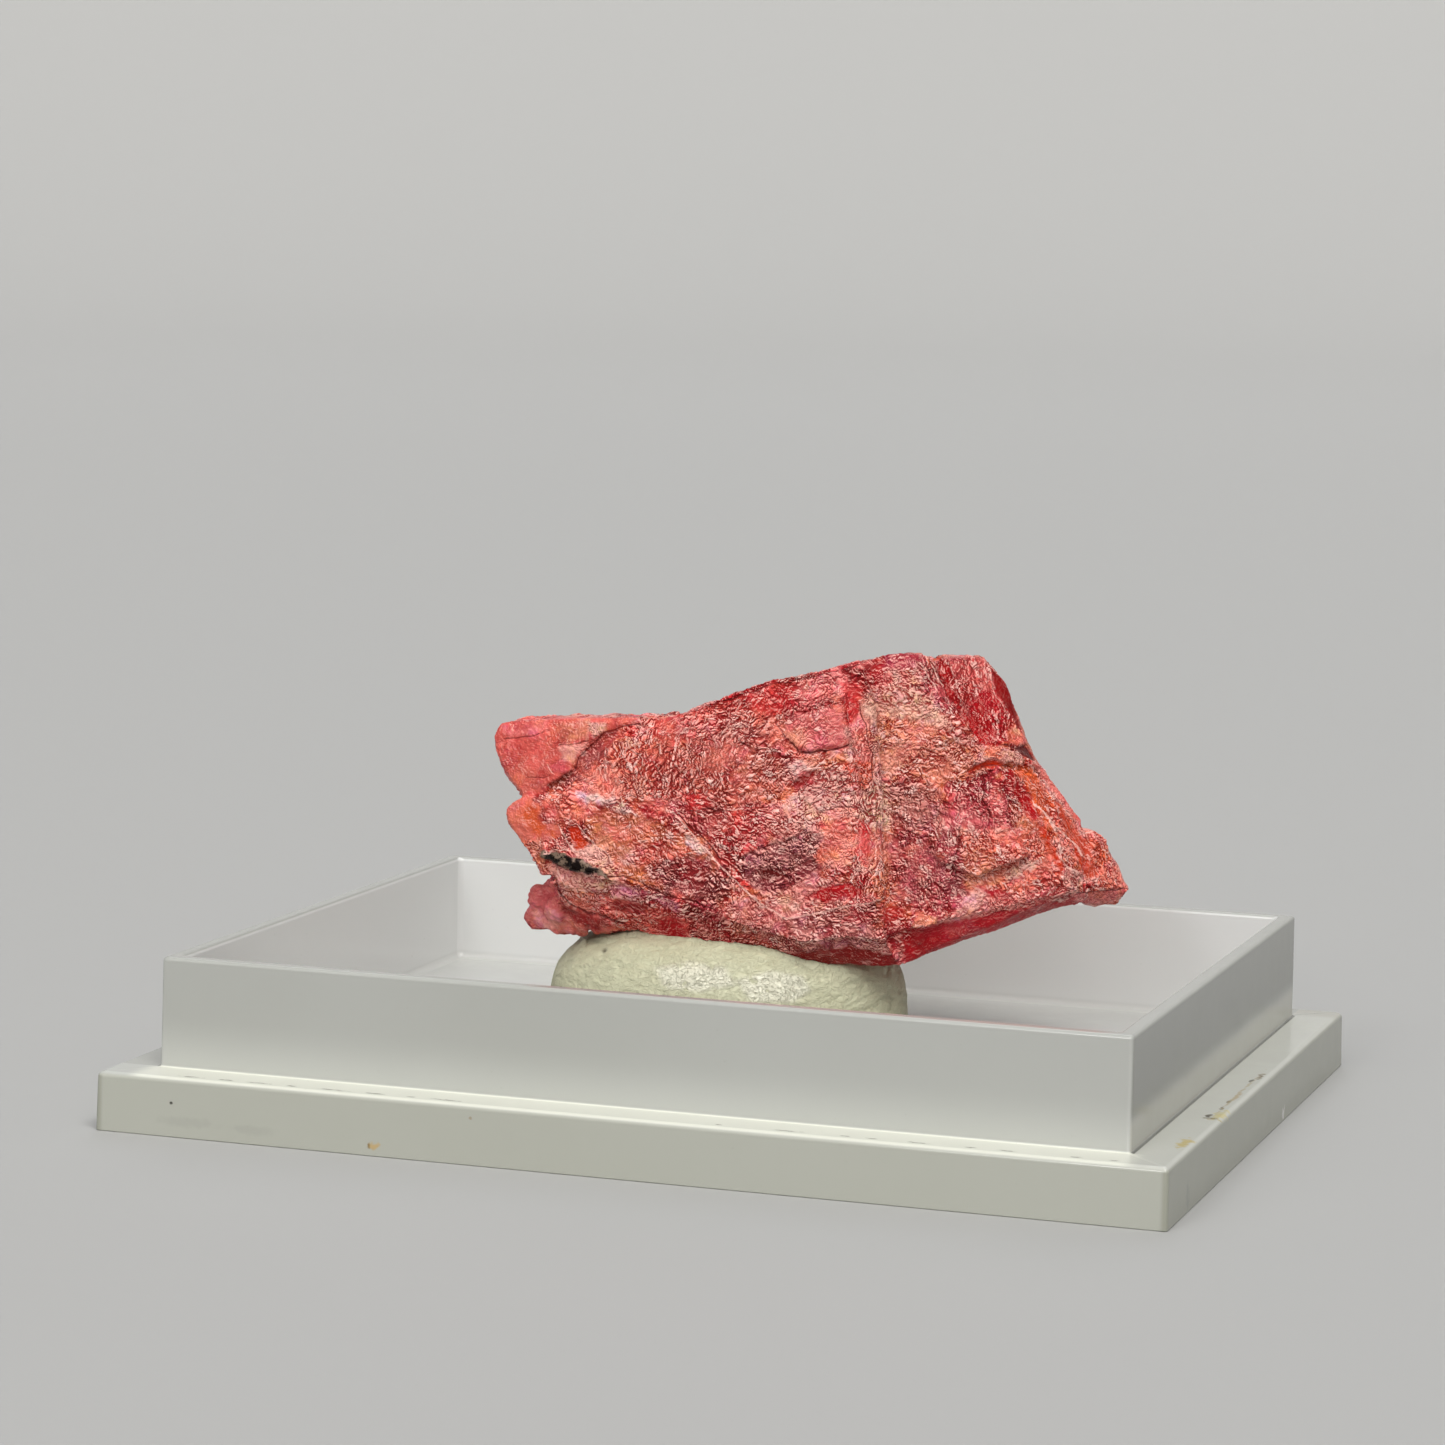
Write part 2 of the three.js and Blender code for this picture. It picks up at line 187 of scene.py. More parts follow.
def modified(holder, kind, **settings):
    """The mesh that a modifier makes of an object, which is then removed."""
    modifier = holder.modifiers.new("modifier", kind)
    for name, value in settings.items():
        setattr(modifier, name, value)
    depsgraph = bpy.context.evaluated_depsgraph_get()
    made = bpy.data.meshes.new_from_object(holder.evaluated_get(depsgraph), depsgraph=depsgraph)
    bpy.data.objects.remove(holder)
    return made


def with_modifier(mesh, kind, **settings):
    return modified(new_object("holder", mesh), kind, **settings)


def thinned(mesh, worth, triangles):
    """The mesh with about this many triangles, kept where they are worth most."""
    holder = new_object("holder", mesh)
    group = holder.vertex_groups.new(name="worth")
    levels = 8
    nearest = np.round(worth * levels).astype(int)
    for level in range(levels + 1):
        group.add(np.nonzero(nearest == level)[0].tolist(), level / levels, "REPLACE")
    count = sum(len(face.vertices) - 2 for face in mesh.polygons)
    return modified(holder, "DECIMATE", ratio=triangles / count, vertex_group="worth",
                    invert_vertex_group=True, vertex_group_factor=1.0)


def relaxed(mesh, share, rounds):
    """Moves each vertex towards the middle of its neighbours."""
    first, second = read(mesh.edges, "vertices", 2, np.int32).T
    points = points_of(mesh)
    counts = np.bincount(np.concatenate((first, second)), minlength=len(points))[:, None]
    for _ in range(rounds):
        total = np.zeros_like(points)
        for axis in range(3):
            total[:, axis] = (np.bincount(first, points[second, axis], len(points))
                              + np.bincount(second, points[first, axis], len(points)))
        points += share * (total / counts - points)
    set_points(mesh, points)


def ring_faces(first, rings, around):
    """The faces between rings of points, which lie one after another from the first number on."""
    faces = []
    for start in range(first, first + (rings - 1) * around, around):
        for i in range(around):
            a, b = start + i, start + (i + 1) % around
            faces.append((a, b, b + around, a + around))
    return faces


def turned(points, angle):
    """Points turned about the vertical axis."""
    c, s = math.cos(angle), math.sin(angle)
    return points @ np.array([[c, s, 0.0], [-s, c, 0.0], [0.0, 0.0, 1.0]])


# ---- Nodes --------------------------------------------------------------------------------------

class Tree:
    """Adds nodes to a material's or a geometry tree. An input is a socket to link or a value to set."""

    def __init__(self, tree):
        self.tree = tree

    def node(self, kind, inputs=None, **settings):
        node = self.tree.nodes.new(kind)
        for name, value in settings.items():
            setattr(node, name, value)
        self.fill(node, inputs or {})
        return node

    def fill(self, node, inputs):
        for key, value in inputs.items():
            socket = node.inputs[key] if isinstance(key, int) else self.named(node, key)
            if isinstance(value, bpy.types.NodeSocket):
                self.tree.links.new(value, socket)
            else:
                socket.default_value = value

    @staticmethod
    def named(node, key):
        return next(socket for socket in node.inputs if socket.name == key and socket.enabled)

    def value(self, name):
        """A number that the mesh keeps."""
        return self.node("ShaderNodeAttribute", attribute_name=name).outputs["Fac"]

    def vector(self, name):
        """A vector or colour that the mesh keeps."""
        if self.tree.bl_idname == "GeometryNodeTree":
            return self.node("GeometryNodeInputNamedAttribute", {"Name": name},
                             data_type="FLOAT_VECTOR").outputs[0]
        return self.node("ShaderNodeAttribute", attribute_name=name).outputs["Vector"]

    def math(self, operation, *values):
        return self.node("ShaderNodeMath", dict(enumerate(values)), operation=operation).outputs[0]

    def sum(self, first, second):
        return self.math("ADD", first, second)

    def product(self, first, *others):
        for other in others:
            first = self.math("MULTIPLY", first, other)
        return first

    def from_middle(self, noise):
        """How far noise is from its middle: 0 along the winding lines where it crosses it."""
        return self.math("ABSOLUTE", self.math("SUBTRACT", noise, 0.5))

    def vmath(self, operation, *values, output="Vector"):
        return self.node("ShaderNodeVectorMath", dict(enumerate(values)),
                         operation=operation).outputs[output]

    def moved(self, place, shift):
        return self.vmath("ADD", place, shift)

    def scaled(self, vector, size):
        return self.vmath("MULTIPLY", vector, size if hasattr(size, "__len__") else (size,) * 3)

    def times(self, vector, size):
        return self.node("ShaderNodeVectorMath", {"Vector": vector, "Scale": size},
                         operation="SCALE").outputs[0]

    def noise(self, place, scale=1.0, detail=2.0, roughness=0.5, output=0):
        return self.node("ShaderNodeTexNoise", {"Vector": place, "Scale": scale, "Detail": detail,
                                                "Roughness": roughness}).outputs[output]

    def drift(self, place, scale, detail=2.0):
        """A random shift at each place, about zero."""
        return self.vmath("SUBTRACT", self.noise(place, scale, detail, output=1), (0.5, 0.5, 0.5))

    def flakes(self, place, scale):
        """Cells with flat sides: a random colour for each, and a height that tilts each its own way."""
        cells = self.node("ShaderNodeTexVoronoi", {"Vector": place, "Scale": scale, "Randomness": 1.0})
        colour = cells.outputs["Color"]
        offset = self.scaled(self.vmath("SUBTRACT", place, cells.outputs["Position"]), scale)
        lean = self.vmath("SUBTRACT", colour, (0.5, 0.5, 0.5))
        return colour, self.vmath("DOT_PRODUCT", offset, lean, output="Value")

    def parts(self, colour):
        return self.node("ShaderNodeSeparateXYZ", {0: colour}).outputs

    def smooth(self, value, low, high, to_low=0.0, to_high=1.0):
        return self.node("ShaderNodeMapRange", {0: value, 1: low, 2: high, 3: to_low, 4: to_high},
                         interpolation_type="SMOOTHSTEP").outputs[0]

    def mix(self, share, first, second, blend="MIX"):
        """Two colours mixed."""
        return self.node("ShaderNodeMix", {0: share, 6: first, 7: second}, data_type="RGBA",
                         blend_type=blend).outputs[2]

    def tinted(self, colour, share, factors):
        """A colour, multiplied by factors of its red, green and blue where the share is 1."""
        return self.mix(share, colour, self.mix(1.0, colour, (*factors, 1.0), blend="MULTIPLY"))

    def blend(self, share, first, second):
        """Two numbers mixed."""
        return self.node("ShaderNodeMix", {0: share, 2: first, 3: second}, data_type="FLOAT").outputs[0]

    def bump(self, height, distance, **normal):
        """Relief on top of the normal given as Normal, if any. The distance is in millimetres."""
        inputs = {"Height": height, "Distance": distance * MM, "Strength": 1.0, **normal}
        return self.node("ShaderNodeBump", inputs).outputs[0]


def new_material(name):
    """A material with an empty Principled surface: its tree and that surface's inputs."""
    material = bpy.data.materials.new(name)
    material.use_nodes = True
    tree = material.node_tree
    tree.nodes.clear()
    surface = tree.nodes.new("ShaderNodeBsdfPrincipled")
    output = tree.nodes.new("ShaderNodeOutputMaterial")
    tree.links.new(surface.outputs[0], output.inputs[0])
    return material, Tree(tree), surface


def measured(mesh, field):
    """What a node field gives at each vertex."""
    group = bpy.data.node_groups.new("measure", "GeometryNodeTree")
    for in_out in ("INPUT", "OUTPUT"):
        group.interface.new_socket("Geometry", in_out=in_out, socket_type="NodeSocketGeometry")
    tree = Tree(group)
    source = tree.node("NodeGroupInput")
    store = tree.node("GeometryNodeStoreNamedAttribute",
                      {"Geometry": source.outputs[0], "Name": "measured", "Value": field(tree)},
                      data_type="FLOAT", domain="POINT")
    tree.node("NodeGroupOutput", {0: store.outputs[0]})
    made = with_modifier(mesh, "NODES", node_group=group)
    values = read(made.attributes["measured"].data, "value", 1)[:, 0].astype(float)
    bpy.data.meshes.remove(made)
    return values


# ---- Camera, floor and lights -------------------------------------------------------------------

def camera_axes():
    """The camera's right, up and forward directions."""
    azimuth, elevation, roll = CAMERA_AZIMUTH, CAMERA_ELEVATION, CAMERA_ROLL
    back = np.array([math.sin(azimuth) * math.cos(elevation), -math.cos(azimuth) * math.cos(elevation),
                     math.sin(elevation)])
    level = unit(np.cross(-back, UP))
    upright = np.cross(level, -back)
    right = math.cos(roll) * level + math.sin(roll) * upright
    return right, np.cross(right, -back), -back


def make_camera():
    right, up, forward = camera_axes()
    camera = bpy.data.objects.new("camera", bpy.data.cameras.new("camera"))
    camera.data.sensor_width = SENSOR_WIDTH
    camera.data.lens = CAMERA_LENS
    camera.data.clip_start = 0.01
    camera.data.clip_end = 20.0
    turn = Matrix((right, up, -forward)).transposed().to_4x4()
    camera.matrix_world = Matrix.Translation(CAMERA_PLACE) @ turn
    bpy.context.scene.collection.objects.link(camera)
    bpy.context.scene.camera = camera


def photo_place(points):
    """Where points in metres are in the photograph, in its pixels, right and down."""
    right, up, forward = camera_axes()
    seen = points - np.array(CAMERA_PLACE)
    scale = CAMERA_LENS / SENSOR_WIDTH * PHOTO_SIZE / (seen @ forward)
    return PHOTO_SIZE / 2 + scale * (seen @ right), PHOTO_SIZE / 2 - scale * (seen @ up)


FLOOR_COLOUR = (0.40, 0.40, 0.396, 1)


def make_floor():
    """A pale round floor whose rim curves up out of sight."""
    flat_radius, curve_radius, curve_angle = 1.3, 0.9, math.radians(80)
    steps, around = 16, 96
    profile = [(flat_radius * share, 0.0) for share in (0.25, 0.5, 0.75)]
    for i in range(steps + 1):
        angle = curve_angle * i / steps
        profile.append((flat_radius + curve_radius * math.sin(angle), curve_radius * (1 - math.cos(angle))))
    points = [(0.0, 0.0, 0.0)]
    for radius, height in profile:
        for i in range(around):
            angle = 2 * math.pi * i / around
            points.append((radius * math.cos(angle), radius * math.sin(angle), height))
    faces = [(0, 1 + i, 1 + (i + 1) % around) for i in range(around)]
    faces += [(a, d, c, b) for a, b, c, d in ring_faces(1, len(profile), around)]
    mesh = bpy.data.meshes.new("floor")
    mesh.from_pydata(points, [], faces)
    mesh.shade_smooth()
    floor = new_object("floor", mesh)
    material, _, surface = new_material("floor")
    surface.inputs["Base Color"].default_value = FLOOR_COLOUR
    surface.inputs["Roughness"].default_value = 0.75
    mesh.materials.append(material)


# Soft lights: three from far off, which light the floor evenly, and one softbox near the part.
SUNS = {                         # where each shines from, its softness in degrees, strength, colour
    "key": ((0.32, -0.38, 0.87), 30, 2.1, (1.0, 0.985, 0.95)),
    "front": ((0.0, -0.87, 0.50), 85, 2.2, (1.0, 0.985, 0.96)),
    "back": ((-0.15, 0.64, 0.75), 40, 0.6, (0.95, 0.97, 1.0)),
}
SOFTBOX_PLACE = (-0.10, -0.62, 0.34)
SOFTBOX_SIZE = 0.12
SOFTBOX_POWER = 0.6
LIGHT_AIM = Vector((0.0, 0.0, 0.012))
WORLD_COLOUR = (0.93, 0.96, 1.0)
WORLD_STRENGTH = 0.12


def add_lamp(name, light, place):
    lamp = bpy.data.objects.new(name, light)
    lamp.location = place
    lamp.rotation_euler = (LIGHT_AIM - lamp.location).to_track_quat("-Z", "Y").to_euler()
    bpy.context.scene.collection.objects.link(lamp)


def make_lights():
    for name, (place, softness, strength, colour) in SUNS.items():
        sun = bpy.data.lights.new(name, "SUN")
        sun.angle = math.radians(softness)
        sun.energy = strength
        sun.color = colour
        add_lamp(name, sun, place)
    softbox = bpy.data.lights.new("softbox", "AREA")
    softbox.size = SOFTBOX_SIZE
    softbox.energy = SOFTBOX_POWER
    add_lamp("softbox", softbox, SOFTBOX_PLACE)
    world = bpy.data.worlds.new("studio")
    world.use_nodes = True
    background = world.node_tree.nodes["Background"]
    background.inputs["Color"].default_value = (*WORLD_COLOUR, 1)
    background.inputs["Strength"].default_value = WORLD_STRENGTH
    bpy.context.scene.world = world
    bpy.context.scene.view_settings.view_transform = "Standard"


# ---- Box base -----------------------------------------------------------------------------------

def arc_points(inset, height, radius, from_deg, to_deg, corner):
    steps = 7
    points = []
    for i in range(steps + 1):
        angle = math.radians(from_deg + (to_deg - from_deg) * i / steps)
        points.append((inset - radius * math.cos(angle), height + radius * math.sin(angle), corner))
    return points


def box_profile():
    """The base's profile, from the middle of its underside round to the middle of the tray floor.
    Each point is (inset from the foot's side, height, corner radius)."""
    wall_in = LEDGE_INSET + WALL_DRAFT + WALL_THICKNESS
    rim_height = WALL_TOP - RIM_RADIUS
    foot_edge = FOOT_HEIGHT - FOOT_EDGE_RADIUS
    skirt_corner, wall_corner, tray_corner = 0.3, 0.25, 0.35
    skirt_fillet, skirt_draft, bottom_edge, root = 0.3, 0.06, 0.08, 0.12
    skirt_in, ceiling = SKIRT_THICKNESS + skirt_fillet, FLOOR_TOP - FLOOR_THICKNESS
    return [
        (skirt_in, ceiling, skirt_corner),
        *arc_points(skirt_in, ceiling - skirt_fillet, skirt_fillet, 90, 0, skirt_corner)[1:],
        (SKIRT_THICKNESS - skirt_draft, 0.0, skirt_corner),
        *arc_points(bottom_edge, bottom_edge, bottom_edge, -90, 0, FOOT_CORNER_RADIUS),
        *arc_points(WALL_DRAFT + FOOT_EDGE_RADIUS, foot_edge, FOOT_EDGE_RADIUS, 0, 90,
                    FOOT_CORNER_RADIUS),
        (LEDGE_INSET - root, FOOT_HEIGHT, wall_corner),
        (LEDGE_INSET - root * 0.3, FOOT_HEIGHT + root * 0.3, wall_corner),
        (LEDGE_INSET, FOOT_HEIGHT + root, wall_corner),
        *arc_points(LEDGE_INSET + WALL_DRAFT + RIM_RADIUS, rim_height, RIM_RADIUS, 0, 90, wall_corner),
        *arc_points(wall_in - RIM_RADIUS, rim_height, RIM_RADIUS, 90, 180, tray_corner),
        *arc_points(wall_in + WALL_DRAFT + FLOOR_FILLET, FLOOR_TOP + FLOOR_FILLET, FLOOR_FILLET,
                    0, -90, tray_corner),
    ]


def make_box():
    corner_steps = 6
    points = []
    for inset, height, corner in box_profile():
        x, y = FOOT_LENGTH / 2 - inset - corner, FOOT_WIDTH / 2 - inset - corner
        for quarter, (cx, cy) in enumerate(((x, y), (-x, y), (-x, -y), (x, -y))):
            for i in range(corner_steps + 1):
                angle = (quarter + i / corner_steps) * math.pi / 2
                points.append((cx + corner * math.cos(angle), cy + corner * math.sin(angle), height))
    around = 4 * (corner_steps + 1)
    rings = len(points) // around
    faces = ring_faces(0, rings, around)
    faces.append(tuple(reversed(range(around))))
    faces.append(tuple(range((rings - 1) * around, rings * around)))
    mesh = bpy.data.meshes.new("box_base_finish")
    mesh.from_pydata((np.array(points) * MM).tolist(), [], faces)
    mesh.shade_smooth()
    mesh = with_modifier(mesh, "WEIGHTED_NORMAL", keep_sharp=True)
    mesh.materials.append(plastic_material())
    box = new_object("box_base_finish", mesh)
    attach(box, "root")
    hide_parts("box_base")


# Marks on the box: the middle in mm, the reach along x, y and z, the colour and its strength.
BOX_MARKS = [
    ((-25.43, -24.0, 1.9), (0.11, 0.3, 0.11), "#3f3d38", 1.0),        # a dot on the foot's front
    ((-13.78, -24.0, 0.56), (0.14, 0.3, 0.20), "#7d6536", 0.9),       # a tan stain
    ((-13.45, -24.0, 0.58), (0.42, 0.3, 0.30), "#b99a5c", 0.75),
    ((-7.98, -24.0, 2.6), (0.12, 0.3, 0.12), "#8d7c5c", 0.6),
    ((-24.6, -24.0, 0.9), (2.2, 0.3, 0.35), "#8f9088", 0.22),         # smudges
    ((-20.6, -24.0, 0.8), (1.6, 0.3, 0.30), "#8f9088", 0.22),
    ((29.37, -17.7, 3.3), (0.42, 1.5, 0.4), "#b7a250", 0.8),          # stains on the right ledge
    ((29.02, -10.2, 3.3), (0.20, 0.6, 0.3), "#43391f", 1.0),
    ((29.42, -10.8, 3.3), (0.45, 0.3, 0.4), "#6d5c33", 0.9),
    ((29.55, -9.8, 3.3), (0.40, 1.4, 0.4), "#c2b364", 0.7),
    ((29.25, -8.0, 3.3), (0.14, 0.5, 0.3), "#5d5338", 0.9),
    ((29.25, -6.0, 3.3), (0.14, 0.45, 0.3), "#6a5f48", 0.9),
    ((29.35, -4.6, 3.3), (0.18, 1.5, 0.3), "#a8916c", 0.6),
    ((29.3, -4.2, 3.3), (0.13, 6.4, 0.3), "#a1926c", 0.55),
    ((29.2, 0.3, 3.3), (0.12, 0.6, 0.3), "#4f4a3c", 0.9),
    ((29.4, 1.7, 3.3), (0.22, 0.9, 0.3), "#6a5530", 0.9),
    ((30.0, -19.3, 0.75), (0.3, 0.45, 1.0), "#85867f", 0.6),          # a smudge on the foot's right
    ((30.0, 5.9, 0.45), (0.3, 0.45, 0.40), "#d0d0cc", 0.8),           # a chip
]
LEDGE_DASHES = [                  # a broken line of grey dashes along the front ledge: from x to x, in mm
    (-25.4, -23.7), (-22.9, -21.9), (-21.3, -19.6), (-18.9, -18.2), (-17.3, -15.0), (-14.3, -13.2),
    (-12.0, -11.4), (-10.6, -8.6), (5.4, 6.0), (8.6, 10.4), (12.3, 12.9), (13.7, 14.4), (15.8, 17.3),
    (19.1, 19.7), (20.8, 21.9), (24.7, 25.3), (26.7, 27.3)]
LEDGE_DASH_PLACE = (-23.3, 3.3)        # its y and z
LEDGE_DASH_REACH = (0.16, 0.2)         # half its width and its depth
FRONT_LEDGE_ENDS = (28.4, 27.2)  # along x, where the front ledge's painted light starts and is full
SIDE_LEDGE_BACK = (22.6, 20.8)   # along y, the same for the right ledge
WALL_LINE_ENDS = (21.4, 21.2)    # along y, the same for the dark line at the side walls' foot


def plastic_tints(tree, place):
    """Where each tint of the plastic lies, as a share, with its colour, in the order of painting. The
    right wall, the front wall's foot, the box's foot and two ledges have their own tints, as photographed.
    Most of them are painted light and shade: the right wall's top and the foot's ends darker, and the
    right wall's and front wall's feet, both ledges and the inside paler."""
    x, y, z = tree.parts(place)
    along, across, level = (tree.math("ABSOLUTE", side) for side in (x, y, z))
    half_length, half_width = FOOT_LENGTH / 2, FOOT_WIDTH / 2
    wall_out = LEDGE_INSET + WALL_DRAFT / 2
    wall_in = LEDGE_INSET + WALL_DRAFT + WALL_THICKNESS - 0.1

    def above_ledge(low, high, *shares):
        """Shares between two heights, in millimetres above the ledge."""
        return tree.smooth(level, FOOT_HEIGHT + low, FOOT_HEIGHT + high, *shares)

    right, front = tree.smooth(x, -1.0, 1.0), tree.smooth(y, 1.0, -1.0)
    beside, before = (tree.smooth(side, half - wall_out - 0.12, half - wall_out + 0.03)
                      for side, half in ((along, half_length), (across, half_width)))
    right_side = tree.product(right, beside)
    raised = above_ledge(-0.18, -0.06)
    ledge = tree.product(raised, above_ledge(0.12, 0.02))
    inside = tree.product(*(tree.smooth(side, half - wall_in, half - wall_in - 0.1)
                            for side, half in ((along, half_length), (across, half_width))),
                          tree.smooth(level, FLOOR_TOP - 0.5, FLOOR_TOP - 0.4),
                          tree.smooth(level, FLOOR_TOP, FLOOR_TOP + 0.6, 0.3, 1.0))
    foot = tree.product(tree.math("MAXIMUM", beside, before), above_ledge(-0.05, -0.2, 0.0, 0.48))
    foot_side = tree.product(tree.smooth(along, half_length - 0.5, half_length - 0.2),
                             above_ledge(-0.1, -0.3))
    wall_line = tree.math("ABSOLUTE", tree.math("SUBTRACT", along, half_length - LEDGE_INSET + 0.05))
    wall_line = tree.product(tree.smooth(wall_line, 0.18, 0.07, 0.0, 0.9), ledge,
                             tree.smooth(across, *WALL_LINE_ENDS))
    return [
        # Painted shade: the right wall darker above its foot.
        (tree.product(right_side, above_ledge(1.2, 2.4)), "#84857e"),
        # Painted reflection: a lighter band at the right wall's foot, where the ledge shows in it.
        (tree.product(right_side, raised, above_ledge(2.0, 1.2)), "#b0afa6"),
        # Painted light: the front wall paler towards its foot.
        (tree.product(before, raised, above_ledge(3.0, 0.2, 0.0, 0.4), front), "#c9cbc6"),
        (foot, "#adae9f"),
        # Painted shade: the foot's ends darker.
        (foot_side, "#97988c"),
        # Painted light: the right ledge and the front ledge paler, as where light falls on them from above.
        (tree.product(right_side, ledge, tree.smooth(y, *SIDE_LEDGE_BACK)), "#bdbeb7"),
        (tree.product(before, ledge, tree.smooth(along, *FRONT_LEDGE_ENDS), front), "#d8d9ce"),
        # Painted light: the inside paler, standing in for light through the thin walls.
        (inside, "#d8d9d8"),
        (wall_line, "#55554f"),
    ]


def plastic_material():
    """Moulded polystyrene: glossy and even, with faint scuffs and a few specks of dirt. Painted light makes
    it paler inside, standing in for light that comes through its thin walls."""
    material, tree, surface = new_material("box_plastic")
    place = tree.scaled(tree.node("ShaderNodeTexCoord").outputs["Object"], 1 / MM)
    clouds = tree.smooth(tree.noise(place, scale=0.05, detail=2.0), 0.35, 0.65)
    colour = tree.mix(clouds, shade("#a6a7a2"), shade("#aaaba7"))
    for share, tint in plastic_tints(tree, place):
        colour = tree.mix(share, colour, shade(tint))
    dust = tree.noise(place, scale=2.6, detail=3.0, roughness=0.7)
    colour = tree.mix(tree.smooth(dust, 0.68, 0.76, 0.0, 0.14), colour, shade("#8b887c"))
    ragged = tree.drift(place, scale=2.2, detail=4.0)
    dashes = [(((start + end) / 2, *LEDGE_DASH_PLACE), ((end - start) / 2, *LEDGE_DASH_REACH), "#8f8f85", 0.85)
              for start, end in LEDGE_DASHES]
    for centre, reach, tint, strength in (*BOX_MARKS, *dashes):
        offset = tree.scaled(tree.vmath("SUBTRACT", place, centre), tuple(1 / size for size in reach))
        offset = tree.moved(offset, tree.scaled(ragged, 2.4 if strength > 0.4 else 1.2))
        distance = tree.vmath("LENGTH", offset, output="Value")
        colour = tree.mix(tree.smooth(distance, 0.35, 1.15, strength, 0.0), colour, shade(tint))
    scuffs = tree.noise(place, scale=0.4, detail=4.0, roughness=0.6)
    skin = tree.noise(place, scale=6.0, detail=2.0)
    tree.fill(surface, {
        "Base Color": colour,
        "Roughness": tree.smooth(scuffs, 0.35, 0.75, 0.13, 0.22),
        "IOR": 1.5,
        "Normal": tree.bump(skin, 0.0008),
    })
    return material


# ---- Stone --------------------------------------------------------------------------------------

# The stone's colours, as they look in its mid tones.
PALETTE = {
    "cream": "#ecbca6", "white": "#f6dcd4", "blush": "#ecb4a8", "pink": "#e88a88", "rose": "#dc7068",
    "salmon": "#dd8070", "beige": "#d8967c", "tan": "#cf8a6a", "ochre": "#cb7a58", "orange": "#dd6c44",
    "ember": "#cc4522", "red": "#c84446", "crimson": "#ae2a38", "wine": "#8c2f34", "maroon": "#641c1e",
    "garnet": "#9c4648", "magenta": "#b85460", "orchid": "#d890a0", "mauve": "#8c5a5c", "plum": "#86444a",
    "purple": "#b0646a", "dusk": "#c07468", "brown": "#a87068", "umber": "#6e3c32", "black": "#1f1b15",
}

